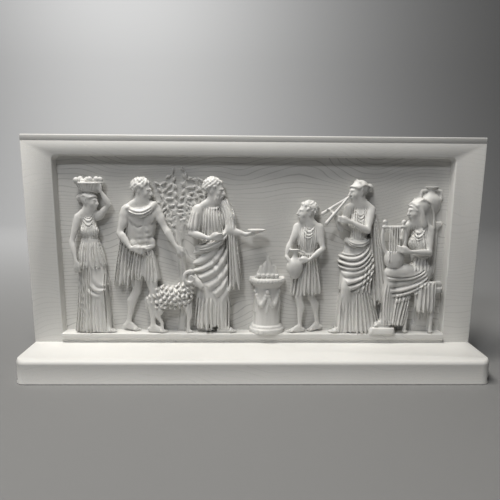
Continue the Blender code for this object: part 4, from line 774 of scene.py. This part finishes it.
def lyrist(c):
    """seated woman with a lyre, faces left"""
    c.start(72.0, HEAD * 1.02, plane=FAR, mirror=-1.0)
    for x, d in ((-1.0, -.1), (-.95, .42), (.25, .38)):
        c.limb([(x, 2.0, d), (x - .06, 1.5, d)], (.12, .085), blend=.02)
        c.limb([(x - .06, 1.5, d), (x + .02, .1, d)], (.1, .085), blend=.02)
        for z, r in ((1.5, .13), (.85, .12), (.1, .14)):
            c.ball((x - .02, z, d), (r, .08, r), blend=.01)
    c.loft([(1.98, -.4, .12, .98, .54), (2.22, -.4, .12, .98, .54)], power=6, blend=.01)
    c.limb([(-1.22, 2.36, .3), (-.4, 2.34, .58), (.3, 2.36, .52)], (.16, .18, .16), blend=.04)
    c.loft([(.0, 1.35, .1, .64, .72), (.3, 1.35, .1, .58, .68)], power=6, blend=.01)
    bare_foot(c, (1.05, .58, .0), (1.62, .38, .1))
    bare_foot(c, (1.2, .56, .38), (1.84, .38, .45))
    c.limb([(-.3, 2.7, -.1), (.4, 2.85, .02), (.98, 2.85, .02)], (.42, .34, .26), blend=.1)
    c.limb([(.98, 2.8, .0), (1.0, 1.8, .0), (1.02, .7, .0)], (.26, .24, .18), blend=.1)
    c.limb([(-.35, 2.75, .3), (.4, 2.98, .5), (1.1, 2.98, .56)], (.44, .37, .29), blend=.1)
    c.limb([(1.1, 2.9, .54), (1.16, 1.9, .48), (1.2, .7, .42)], (.28, .25, .18), blend=.1)
    drop = [(2.6, .55, .2, .62, .42), (1.6, .72, .18, .54, .44), (.42, .86, .14, .6, .48)]
    c.loft(drop, blend=.08, hem=.1)
    c.folds([(-.05, 2.2), (.85, 2.0), (.25, .4), (1.02, .4)], 6, .15, ends=(.35, .01), seed=61)
    c.folds([(1.05, 2.5), (1.4, 2.6), (1.0, .4), (1.4, .4)], 3, .11, bow=(.06, 0), ends=(.2, .01), seed=63)
    c.folds([(-.72, 3.2), (-.6, 2.35), (1.35, 3.0), (.95, 1.3)], 6, .12, bow=(.05, -.25), ends=(.06, .1),
            seed=62)
    c.loft([(2.5, -.55, .52, .52, .22), (1.1, -.6, .5, .48, .24)], blend=.03, hem=.25)
    c.folds([(-1.05, 2.5), (-.1, 2.5), (-1.08, 1.05), (-.12, 1.05)], 5, .13, ends=(.08, .01), seed=64)
    trunk(c, (-.6, 4.92, .24), (.38, 5.05, .08), (-.35, 2.95, .12), .6, (.5, 0, 1), "woman")
    c.folds([(-.62, 4.95), (-.12, 5.1), (-.76, 3.75), (-.34, 3.72)], 5, .08, bow=(-.03, 0), seed=65)
    c.folds([(-.08, 5.15), (.4, 5.05), (-.34, 3.72), (.06, 3.8)], 5, .08, bow=(.08, 0), seed=66)
    c.folds([(-.42, 5.2), (-.4, 4.8), (.24, 5.25), (.2, 4.85)], 2, .07, bow=(0, -.42), seed=67)
    c.folds([(-.74, 3.7), (.05, 3.7), (-.85, 3.0), (.2, 3.05)], 6, .09, seed=68)
    c.limb([(-.78, 3.76, .25), (-.38, 3.66, .54), (.06, 3.78, .54)], .075, blend=.01)
    # lyre: round box, two curved arms, a bar and strings
    c.loft([(3.2, 1.0, .62, .3, .26), (3.4, 1.0, .62, .42, .3), (3.7, 1.0, .62, .46, .3),
            (3.95, 1.0, .62, .38, .26)],
           blend=.02)
    for s in (-1, 1):
        t = np.linspace(0, 1, 12)
        pts = [A((1.02 + s * (.3 + .24 * np.sin(np.pi * v * .9)) + .06 * v, 3.75 + 1.5 * v, .64)) for v in t]
        c.limb(pts, .095 - .025 * t, blend=.01)
        c.ball(pts[-1] + A((s * .06, .04, 0)), (.1, .1, .1), blend=.01)
    c.limb([(.6, 5.06, .68), (1.58, 5.06, .68)], .07, blend=.006)
    for k in range(5):
        x = .82 + .11 * k
        c.limb([(x, 3.5, .9), (x + .02, 5.06, .76)], .034, blend=.003)
    arm(c, (-.64, 4.84, .25), (-.6, 3.88, .66), (.38, 3.96, .98), .88)
    hand(c, (.36, 3.96, .98), (1, .25, 0), (-.1, 1, .1), (.2, 0, -1), .85)
    arm(c, (.42, 4.92, .05), (.62, 4.15, .12), (.86, 4.6, .4), .86)
    hand(c, (.86, 4.55, .42), (.3, 1, .1), (1, -.2, 0), (0, 0, 1), .8)
    head(c, (.0, 5.75, .17), (1, -.12, .42), "veil")
    c.done()


def tree(c):
    """olive tree in flat relief"""
    c.start(-33.0, HEAD, plane=.35)
    t = np.linspace(0, 1, 10)
    c.limb([A((.14 * np.sin(5 * v), 5.6 * v, 0)) for v in t], .22 - .1 * t, blend=.03)
    c.folds([(-.25, 4.8), (.3, 4.8), (-.3, .05), (.3, .05)], 3, .05, seed=15, wobble=1.2)
    rng = np.random.default_rng(12)
    ends = ((-1.25, 6.2), (-.9, 6.95), (-.35, 7.45), (.25, 7.6), (.85, 7.3), (1.25, 6.7), (1.3, 6.0),
            (-1.2, 5.5))
    for k, (x, z) in enumerate(ends):
        start, end = A((.05, 4.5 + .12 * k, 0)), A((x, z, .02))
        m = mix(start, end, .5) + A((.15 * np.sign(x), -.2, 0))
        u = np.linspace(0, 1, 9)[:, None]
        p = (1 - u) ** 2 * start + 2 * u * (1 - u) * m + u ** 2 * end
        c.limb(list(p), .085 - .05 * u[:, 0], blend=.02)
        for j in range(20):
            i = 2 + j % 7
            turn = 2.4 * j + k + rng.uniform(-.4, .4)
            tip = p[i] + A((np.cos(turn) * .36, np.sin(turn) * .36, .06 + .06 * rng.uniform()))
            c.limb([p[i], mix(p[i], tip, .55), tip], (.02, .07, .015), blend=.004)
    c.done()


def pillar(c):
    """fluted pillar with an urn, in flat relief"""
    c.start(79.0, HEAD * .96, plane=.1)
    for z0, z1, w0, w1 in ((0, .3, .62, .62), (.3, .45, .52, .48), (.45, 5.2, .42, .40),
                           (5.2, 5.35, .46, .52), (5.35, 5.55, .6, .6)):
        c.loft([(z0 - .01, 0, 0, w0, .3), (z1 + .01, 0, 0, w1, .3)], power=7, blend=0)
    c.folds([(-.42, .6), (.42, .6), (-.4, 5.1), (.4, 5.1)], 5, .06, ends=(.02, .02), sides=.04, wobble=0)
    c.loft([(5.55, 0, .05, .24, .26), (5.65, 0, .05, .13, .16), (5.8, 0, .05, .18, .2),
            (6.3, 0, .05, .46, .44),
            (6.75, 0, .05, .42, .42), (6.95, 0, .05, .2, .22), (7.15, 0, .05, .18, .2),
            (7.25, 0, .05, .32, .32)], blend=.01)
    for s in (-1, 1):
        c.limb([(.17 * s, 7.1, .1), (.46 * s, 7.05, .1), (.52 * s, 6.7, .1), (.4 * s, 6.5, .1)], .06,
               blend=.01)
    c.done()


def frieze(c):
    for figure in (tree, pillar, basket_bearer, youth, priest, ram, altar, child, piper, lyrist):
        figure(c)


# from the field to a mesh

def surface_net(field, axes):
    """one point in each cell that the surface crosses, and one quad across each crossed grid edge"""
    inside = field < 0
    shape = np.array(field.shape)
    cells = shape - 1
    total = int(cells.prod())
    places = np.zeros((3, total))
    counts = np.zeros(total)
    edges = []
    for axis in range(3):
        low = [slice(None)] * 3
        high = [slice(None)] * 3
        low[axis], high[axis] = slice(0, -1), slice(1, None)
        low, high = tuple(low), tuple(high)
        crossed = np.array(np.nonzero(inside[low] != inside[high]))
        a, b = field[low][tuple(crossed)], field[high][tuple(crossed)]
        point = crossed.astype(float)
        point[axis] += a / (a - b)
        others = [k for k in range(3) if k != axis]
        around = []
        for m, n in ((0, 0), (-1, 0), (-1, -1), (0, -1)):
            cell = crossed.copy()
            cell[others[0]] += m
            cell[others[1]] += n
            good = ((cell >= 0) & (cell < cells[:, None])).all(axis=0)
            flat = np.where(good, (cell[0] * cells[1] + cell[1]) * cells[2] + cell[2], -1)
            around.append(flat)
            for k in range(3):
                places[k] += np.bincount(flat[good], weights=point[k][good], minlength=total)
            counts += np.bincount(flat[good], minlength=total)
        around = np.array(around).T
        flip = (a < 0) if axis != 1 else (a >= 0)
        around[flip] = around[flip][:, ::-1]
        edges.append(around[(around >= 0).all(axis=1)])
    used = counts > 0
    index = np.cumsum(used) - 1
    points = (places[:, used] / counts[used]).T
    step = axes[0][1] - axes[0][0]
    points = points * step + np.array([axis[0] for axis in axes])
    quads = index[np.concatenate(edges)]
    return points, quads


def mesh_object(name, points, faces):
    """points in mm of the relief's own frame"""
    place = np.empty_like(points)
    place[:, 0] = points[:, 0]
    place[:, 1] = GROUND - points[:, 2]
    place[:, 2] = FLOOR + points[:, 1]
    mesh = bpy.data.meshes.new(name)
    mesh.from_pydata((place * MM).tolist(), [], faces.tolist())
    item = bpy.data.objects.new(name, mesh)
    bpy.context.scene.collection.objects.link(item)
    return item


def apply_modifiers(item):
    graph = bpy.context.evaluated_depsgraph_get()
    mesh = bpy.data.meshes.new_from_object(item.evaluated_get(graph))
    item.modifiers.clear()
    item.data = mesh


def triangle_count(mesh):
    return sum(len(face.vertices) - 2 for face in mesh.polygons)


def thin(item, triangles):
    """collapse edges where the surface is flattest"""
    have = triangle_count(item.data)
    if have > triangles:
        fewer = item.modifiers.new("fewer", "DECIMATE")
        fewer.ratio = triangles / have
        apply_modifiers(item)


def drop_crumbs(mesh):
    """only the largest connected piece is kept"""
    bm = bmesh.new()
    bm.from_mesh(mesh)
    seen, pieces = set(), []
    for start in bm.verts:
        if start in seen:
            continue
        piece, rest = [start], [start]
        seen.add(start)
        while rest:
            for edge in rest.pop().link_edges:
                for vert in edge.verts:
                    if vert not in seen:
                        seen.add(vert)
                        piece.append(vert)
                        rest.append(vert)
        pieces.append(piece)
    pieces.sort(key=len)
    for piece in pieces[:-1]:
        bmesh.ops.delete(bm, geom=piece, context="VERTS")
    bm.to_mesh(mesh)
    bm.free()


def combine(item, other, operation):
    join = item.modifiers.new(operation.lower(), "BOOLEAN")
    join.operation = operation
    join.solver = "EXACT"
    join.object = other
    apply_modifiers(item)
    bpy.data.objects.remove(other, do_unlink=True)


# slab, recess, ledge and foot, as in the solid but with finer rounding

def new_object(name, mesh_maker):
    mesh = bpy.data.meshes.new(name)
    bm = bmesh.new()
    mesh_maker(bm)
    for vert in bm.verts:
        vert.co *= MM
    bm.to_mesh(mesh)
    bm.free()
    item = bpy.data.objects.new(name, mesh)
    bpy.context.scene.collection.objects.link(item)
    return item


def prism(bm, outline, start, end):
    """an outline seen from the side, swept from left to right"""
    rings = [[bm.verts.new((v, y, z)) for y, z in outline] for v in (start, end)]
    close(bm, rings)


def close(bm, rings):
    """skin over rows of points, with a cap at either end"""
    for low, high in zip(rings[:-1], rings[1:]):
        for i in range(len(low)):
            j = (i + 1) % len(low)
            bm.faces.new((low[i], high[i], high[j], low[j]))
    bm.faces.new(rings[0])
    bm.faces.new(reversed(rings[-1]))
    bmesh.ops.recalc_face_normals(bm, faces=bm.faces)


def arc(centre, radius, start, end, steps):
    """points of an arc, angles in degrees"""
    out = []
    for i in range(steps + 1):
        turn = math.radians(start + (end - start) * i / steps)
        out.append((centre[0] + radius * math.cos(turn), centre[1] + radius * math.sin(turn)))
    return out


TOP_LINE_DOWN = 2.6         # a fine groove runs along the face, this far under the top edge
TOP_LINE_DEEP = 0.12
TOP_LINE_HALF = 0.2
PANEL_ROUND = 0.45
PANEL_SIDE_ROUND = 0.3
RECESS_EDGE = 0.35          # soft edge where the recess's walls meet the face
RECESS_EDGE_MID = 0.12
RECESS_CORNER_GROWS = 0.3   # share of the draft that the corners take up
LEDGE_ROUND = 0.28
LIP_SOFT = 0.15             # height of the soft edge under the foot's lip
PAST = 2.0                  # a cutter or joined form goes this far past the face that it meets
INTO_FOOT = 1.0


def panel(bm):
    """upright slab: its profile is drawn from the side, then its upright edges are softened"""
    r = PANEL_ROUND
    line = TOP - TOP_LINE_DOWN
    profile = [(BACK, FOOT_HEIGHT - PAST), (BACK, TOP - r)]
    profile += arc((BACK - r, TOP - r), r, 0, 90, 4)[1:]
    profile += arc((FACE + r, TOP - r), r, 90, 180, 5)
    profile += [(FACE, line + TOP_LINE_HALF), (FACE + TOP_LINE_DEEP, line), (FACE, line - TOP_LINE_HALF)]
    profile.append((FACE, FOOT_HEIGHT - PAST))
    prism(bm, profile, -WIDTH / 2, WIDTH / 2)
    upright = []
    for edge in bm.edges:
        a, b = (vert.co for vert in edge.verts)
        on_one_side = a.x * b.x > 0 and abs(abs(a.x) - WIDTH / 2) < 0.01 and abs(abs(b.x) - WIDTH / 2) < 0.01
        if on_one_side and max(a.z, b.z) > FOOT_HEIGHT:
            upright.append(edge)
    bmesh.ops.bevel(bm, geom=upright, offset=PANEL_SIDE_ROUND, segments=2, profile=0.5, affect="EDGES",
                    clamp_overlap=True)


def foot_outline(inset_front, inset_side, lip):
    """seen from above: straight back, round front corners"""
    x_half, y_front = WIDTH / 2 + lip, FRONT - lip
    points = [(x_half - inset_side, BACK), (x_half - inset_side, FACE)]
    steps = 16
    for i in range(steps + 1):
        turn = math.pi / 2 * i / steps
        reach = FOOT_CORNER - inset_side - (inset_front - inset_side) * math.sin(turn)
        points.append((x_half - FOOT_CORNER + reach * math.cos(turn),
                       y_front + FOOT_CORNER - reach * math.sin(turn)))
    return points + [(-x, y) for x, y in reversed(points)]


def foot(bm):
    """rows from the underside up: share of the rounding, height, and how far the lip stands out"""
    rows = [(0.0, 0.0, FOOT_LIP_OUT * 0.4), (0.0, LIP_SOFT, FOOT_LIP_OUT),
            (0.0, FOOT_LIP * 0.6, FOOT_LIP_OUT), (0.0, FOOT_LIP, 0.0)]
    steps = 9
    for i in range(steps + 1):
        turn = math.pi / 2 * i / steps
        rows.append((1.0 - math.cos(turn), FOOT_HEIGHT - FOOT_ROUND * (1.0 - math.sin(turn)), 0.0))
    rings = []
    for inset, height, lip in rows:
        outline = foot_outline(FOOT_ROUND * inset, FOOT_SIDE_ROUND * inset, lip)
        rings.append([bm.verts.new((x, y, height)) for x, y in outline])
    close(bm, rings)


def recess_cutter(bm):
    """wider at the face than at the ground, with round upper corners and a soft edge at the face"""
    low = FLOOR - LEDGE_THICK
    rows = [(FACE - PAST, RECESS_DRAFT + RECESS_EDGE + 1.6), (FACE, RECESS_DRAFT + RECESS_EDGE),
            (FACE + RECESS_EDGE_MID, RECESS_DRAFT + RECESS_EDGE_MID), (FACE + RECESS_EDGE, RECESS_DRAFT),
            (GROUND, 0.0)]
    rings = []
    for y, out in rows:
        half, high = RECESS_HALF + out, TOP - TOP_BAND + out
        corner = RECESS_CORNER + out * RECESS_CORNER_GROWS
        ring = arc((half - corner, high - corner), corner, 0, 90, 8)
        ring += [(-x, z) for x, z in reversed(ring)]
        ring += [(-half, low), (half, low)]
        rings.append([bm.verts.new((x, y, z)) for x, z in ring])
    close(bm, rings)


def ledge(bm):
    """a flat band with a soft edge and a small hollow under it, drawn from the side"""
    under = FLOOR - LEDGE_THICK
    nose, soft = FACE - LEDGE_OUT, LEDGE_ROUND
    profile = [(GROUND + PAST, FLOOR)] + arc((nose + soft, FLOOR - soft), soft, 90, 180, 4)
    profile += arc((nose + soft, under + soft), soft, 180, 270, 3)
    sweep = LEDGE_OUT - COVE_OUT
    profile += arc((nose + soft, under - sweep), sweep - soft, 90, 0, 6)[1:]
    profile += [(FACE - COVE_OUT, FOOT_HEIGHT - INTO_FOOT), (GROUND + PAST, FOOT_HEIGHT - INTO_FOOT)]
    half = RECESS_HALF + RECESS_DRAFT
    prism(bm, profile, -half, half)


def slab():
    whole = new_object("slab", panel)
    combine(whole, new_object("cutter", recess_cutter), "DIFFERENCE")
    combine(whole, new_object("foot", foot), "UNION")
    combine(whole, new_object("ledge", ledge), "UNION")
    return whole


# finish

WHITE = (0.86, 0.855, 0.835, 1.0)
PATCH_WHITE = (0.80, 0.795, 0.775, 1.0)
# painted shade: tone and strength of the dark line at each layer step's edge
STEP_SHADE_TONE = (0.62, 0.62, 0.61, 1.0)
STEP_SHADE_SHOWS = 0.6
GLOSS = (0.42, 0.56)        # roughness in the shiniest and the dullest patches
SCATTER = 0.04
SCATTER_TINT = (1.0, 0.9, 0.75)
SCATTER_REACH = 0.0012      # in metres, as are the next three
LAYER = 0.00005             # thickness of a printed layer
WAVE_DEEP = 0.0006          # waves of the flat faces, which turn the layers' edges into contour lines
GRAIN_DEEP = 0.00002
LEAN = 0.03                 # of the flat faces, as depth for each unit of height
WAVES = (24.0, 24.0, 46.0)  # waves to the metre: longer along the panel than up it
GRAINS = 900.0              # to the metre
PATCHES = 38.0
LINE_WIDE = 0.11            # share of a layer's step on each side of its edge
FLAT_FROM, FLAT_TO = 0.93, 0.995  # how squarely a face looks forward before lines show, and show fully
BORDER_LINES = 0.4          # strength of the lines on border and foot


def fill(tree, socket, value):
    """value is a plain one or another node's output"""
    if isinstance(value, bpy.types.NodeSocket):
        tree.links.new(value, socket)
    else:
        socket.default_value = value


def maths(tree, operation, *values):
    made = tree.nodes.new("ShaderNodeMath")
    made.operation = operation
    for socket, value in zip(made.inputs, values):
        fill(tree, socket, value)
    return made.outputs[0]


def ranged(tree, value, start, end, low=0.0, high=1.0, smooth=False):
    """value as it goes from start to end, stretched to go from low to high"""
    made = tree.nodes.new("ShaderNodeMapRange")
    if smooth:
        made.interpolation_type = "SMOOTHSTEP"
    names = ("Value", "From Min", "From Max", "To Min", "To Max")
    for name, amount in zip(names, (value, start, end, low, high)):
        fill(tree, made.inputs[name], amount)
    return made.outputs[0]


def noise(tree, place, scale, detail, rough):
    made = tree.nodes.new("ShaderNodeTexNoise")
    for name, value in zip(("Vector", "Scale", "Detail", "Roughness"), (place, scale, detail, rough)):
        fill(tree, made.inputs[name], value)
    return made.outputs["Fac"]


def colour_mix(tree, share, first, second, blend="MIX"):
    made = tree.nodes.new("ShaderNodeMix")
    made.data_type = "RGBA"
    made.blend_type = blend
    for name, value in zip(("Factor", "A", "B"), (share, first, second)):
        fill(tree, made.inputs[name], value)
    return made.outputs["Result"]


def split(tree, vector):
    made = tree.nodes.new("ShaderNodeSeparateXYZ")
    tree.links.new(vector, made.inputs[0])
    return made.outputs


def layer_lines(tree, place):
    """how far up its step the surface is, how dark the painted shade at the step's edge is, and how flat the
    face is
    """
    stretch = tree.nodes.new("ShaderNodeMapping")
    stretch.inputs["Scale"].default_value = WAVES
    tree.links.new(place, stretch.inputs["Vector"])
    waves = noise(tree, stretch.outputs[0], 1.0, 1.5, 0.4)
    where = split(tree, place)
    lean = maths(tree, "MULTIPLY", where["Z"], LEAN)
    swell = maths(tree, "MULTIPLY_ADD", waves, WAVE_DEEP, lean)
    depth = maths(tree, "ADD", where["Y"], swell)
    part = maths(tree, "FRACT", maths(tree, "DIVIDE", depth, LAYER))
    # a dark line at each step's edge, used as painted shade of the step in the colour
    line = ranged(tree, maths(tree, "PINGPONG", part, 0.5), 0.0, LINE_WIDE, 1.0, 0.0, smooth=True)
    # only where the face looks along the layers' own axis
    geometry = tree.nodes.new("ShaderNodeNewGeometry")
    facing = maths(tree, "ABSOLUTE", split(tree, geometry.outputs["True Normal"])["Y"])
    flat = ranged(tree, facing, FLAT_FROM, FLAT_TO, smooth=True)
    # fainter on the border and the foot than on the ground, and none on the back, which lay on the plate
    front = ranged(tree, where["Y"], (FACE + 1.0) * MM, (GROUND - 1.0) * MM, BORDER_LINES)
    plate = ranged(tree, where["Y"], (GROUND + 1.0) * MM, (BACK - 1.0) * MM, 1.0, 0.0)
    flatness = maths(tree, "MULTIPLY", flat, maths(tree, "MULTIPLY", front, plate))
    return part, maths(tree, "MULTIPLY", line, flatness), flatness


def resin():
    """satin white resin, printed flat on its back: thin layers show as contour lines on nearly flat faces,
    made by a bump and by painted shade along the steps' edges
    """
    material = bpy.data.materials.new("white_resin")
    material.use_nodes = True
    tree = material.node_tree
    shader = tree.nodes["Principled BSDF"].inputs
    place = tree.nodes.new("ShaderNodeTexCoord").outputs["Object"]
    part, step_shade, flatness = layer_lines(tree, place)
    patches = noise(tree, place, PATCHES, 4.0, 0.55)
    # warm white, a little greyer in patches, and darker in the lines, which is painted shade of the layer
    # steps
    tone = colour_mix(tree, patches, PATCH_WHITE, WHITE)
    lined = colour_mix(tree, maths(tree, "MULTIPLY", step_shade, STEP_SHADE_SHOWS), tone, STEP_SHADE_TONE, "MULTIPLY")
    fill(tree, shader["Base Color"], lined)
    fill(tree, shader["Roughness"], ranged(tree, patches, 0.3, 0.7, *GLOSS))
    # relief too fine for the mesh: layer steps and a powdery grain
    stair = maths(tree, "MULTIPLY", maths(tree, "MULTIPLY", part, LAYER), flatness)
    grain = maths(tree, "MULTIPLY", noise(tree, place, GRAINS, 3.0, 0.6), GRAIN_DEEP)
    bump = tree.nodes.new("ShaderNodeBump")
    bump.inputs["Strength"].default_value = 1.0
    bump.inputs["Distance"].default_value = 1.0
    fill(tree, bump.inputs["Height"], maths(tree, "ADD", stair, grain))
    fill(tree, shader["Normal"], bump.outputs[0])
    fill(tree, shader["Subsurface Weight"], SCATTER)
    fill(tree, shader["Subsurface Radius"], SCATTER_TINT)
    fill(tree, shader["Subsurface Scale"], SCATTER_REACH)
    return material


# floor, light and camera

SHEET_HALF = 2000.0         # the stage, in mm
SHEET_FRONT = -1500.0
SHEET_TOP = 1600.0
BEND = 300.0                # radius of the curve from floor to wall
BEND_START = 500.0
PAPER_GREY = (0.31, 0.31, 0.31, 1.0)
PAPER_ROUGH = 0.9


def paper():
    material = bpy.data.materials.new("stage_paper")
    material.use_nodes = True
    shader = material.node_tree.nodes["Principled BSDF"]
    shader.inputs["Base Color"].default_value = PAPER_GREY
    shader.inputs["Roughness"].default_value = PAPER_ROUGH
    return material


def stage():
    """a grey sheet that curves up into a wall behind"""
    def sheet(bm):
        profile = [(SHEET_FRONT, 0.0), (BEND_START, 0.0)]
        profile += arc((BEND_START, BEND), BEND, -90, 0, 12)[1:]
        profile.append((BEND_START + BEND, SHEET_TOP))
        rows = [[bm.verts.new((x, y, z)) for y, z in profile] for x in (-SHEET_HALF, SHEET_HALF)]
        for i in range(len(profile) - 1):
            bm.faces.new((rows[0][i], rows[1][i], rows[1][i + 1], rows[0][i + 1]))

    floor = new_object("stage_sheet", sheet)
    floor.data.materials.append(paper())
    floor.data.shade_smooth()


# lights: sizes and places in metres, power in watts
SKY = 0.02
SKY_COLOUR = (0.90, 0.95, 1.0, 1.0)
GAMMA = 0.8
EXPOSURE = 0.28
MIDDLE = (0.0, 0.0, 0.05)   # of the panel
LAMPS = {
    "key": dict(size=(0.28, 0.12), watts=2.0, place=(-0.11, -0.10, 0.52), aim=MIDDLE,
                colour=(1.0, 0.975, 0.93)),
    "fill": dict(size=(0.07, 0.07), watts=0.5, place=(-0.14, -0.32, 0.42), aim=MIDDLE,
                 colour=(0.97, 0.98, 1.0)),
    "wall": dict(size=(0.3, 0.2), watts=6.0, place=(-0.26, 0.25, 0.55), aim=(-0.22, 0.80, 0.30),
                 colour=(1.0, 1.0, 1.0)),
}


def lamp(name, size, watts, place, aim, colour):
    light = bpy.data.lights.new(name, "AREA")
    light.shape = "RECTANGLE"
    light.size, light.size_y = size
    light.energy = watts
    light.color = colour
    item = bpy.data.objects.new(name, light)
    bpy.context.scene.collection.objects.link(item)
    item.location = place
    item.rotation_euler = (Vector(aim) - item.location).to_track_quat("-Z", "Y").to_euler()


def lights():
    """a soft light overhead, a smaller one before the panel, one for the wall, and a weak sky"""
    scene = bpy.context.scene
    scene.view_settings.view_transform = "Standard"
    scene.view_settings.gamma = GAMMA
    scene.view_settings.exposure = EXPOSURE
    world = bpy.data.worlds.new("studio")
    scene.world = world
    world.use_nodes = True
    back = world.node_tree.nodes["Background"]
    back.inputs["Color"].default_value = SKY_COLOUR
    back.inputs["Strength"].default_value = SKY
    for name, values in LAMPS.items():
        lamp(name, **values)


# seen from where the photograph was taken
CAMERA_PLACE = (-5.4, -198.3, 89.9)
CAMERA_PITCH = 0.1777       # looks down, radians
CAMERA_ROLL = 0.0073
CAMERA_YAW = 0.0169
FOCAL_PX = 464.3
PICTURE_PX = 500.0          # the width that the focal length is given for
SENSOR_MM = 36.0
NEAREST = 0.01              # nothing is drawn closer to the lens than this, in metres


def camera():
    cz, sz = math.cos(CAMERA_YAW), math.sin(CAMERA_YAW)
    cx, sx = math.cos(CAMERA_PITCH), math.sin(CAMERA_PITCH)
    cy, sy = math.cos(CAMERA_ROLL), math.sin(CAMERA_ROLL)
    yaw = Matrix(((cz, -sz, 0), (sz, cz, 0), (0, 0, 1)))
    pitch = Matrix(((1, 0, 0), (0, cx, -sx), (0, sx, cx)))
    roll = Matrix(((cy, 0, sy), (0, 1, 0), (-sy, 0, cy)))
    right, ahead, up = (roll @ pitch @ yaw)[:]
    lens = bpy.data.cameras.new("camera")
    lens.sensor_width = SENSOR_MM
    lens.lens = FOCAL_PX / PICTURE_PX * SENSOR_MM
    lens.clip_start = NEAREST
    item = bpy.data.objects.new("camera", lens)
    bpy.context.scene.collection.objects.link(item)
    turn = Matrix((right, up, -ahead)).transposed()
    item.matrix_world = Matrix.Translation([v * MM for v in CAMERA_PLACE]) @ turn.to_4x4()
    bpy.context.scene.camera = item


# the panel

def carved_field():
    """the frieze on a ground that waves a little"""
    clay = Clay()
    frieze(clay)
    x, z, d = np.meshgrid(*clay.axes, indexing="ij", sparse=True)
    wave = GROUND_WAVE * np.sin(x * 0.083 + 0.7 * np.sin(z * 0.11))
    wave = wave + GROUND_WAVE * np.sin(z * 0.16 + 0.9 * np.sin(x * 0.051))
    ground = (d - GROUND_SKIN - wave).astype(np.float32)
    field = soft_min(clay.whole, ground, GROUND_BLEND)
    half, high = RECESS_HALF + OVERLAP, RECESS_HIGH + OVERLAP
    beside = np.abs(x) - half
    beyond = np.abs(z - (high - OVERLAP) / 2) - (high + OVERLAP) / 2
    block = np.maximum(np.maximum(beside, beyond), -BURIED - d)
    return clay, np.maximum(field, block.astype(np.float32))


def relief_panel():
    clay, field = carved_field()
    points, quads = surface_net(field, clay.axes)
    carving = mesh_object("carving", points, quads)
    thin(carving, MOST_TRIANGLES)
    drop_crumbs(carving.data)
    whole = slab()
    combine(whole, carving, "UNION")
    whole.name = "panel_carved"
    whole.data.materials.clear()
    whole.data.materials.append(resin())
    whole.data.shade_smooth()
    whole.data.set_sharp_from_angle(angle=math.radians(SHARP_FROM))
    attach(whole, "root")
    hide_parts("relief_panel")


stage()
lights()
camera()
relief_panel()
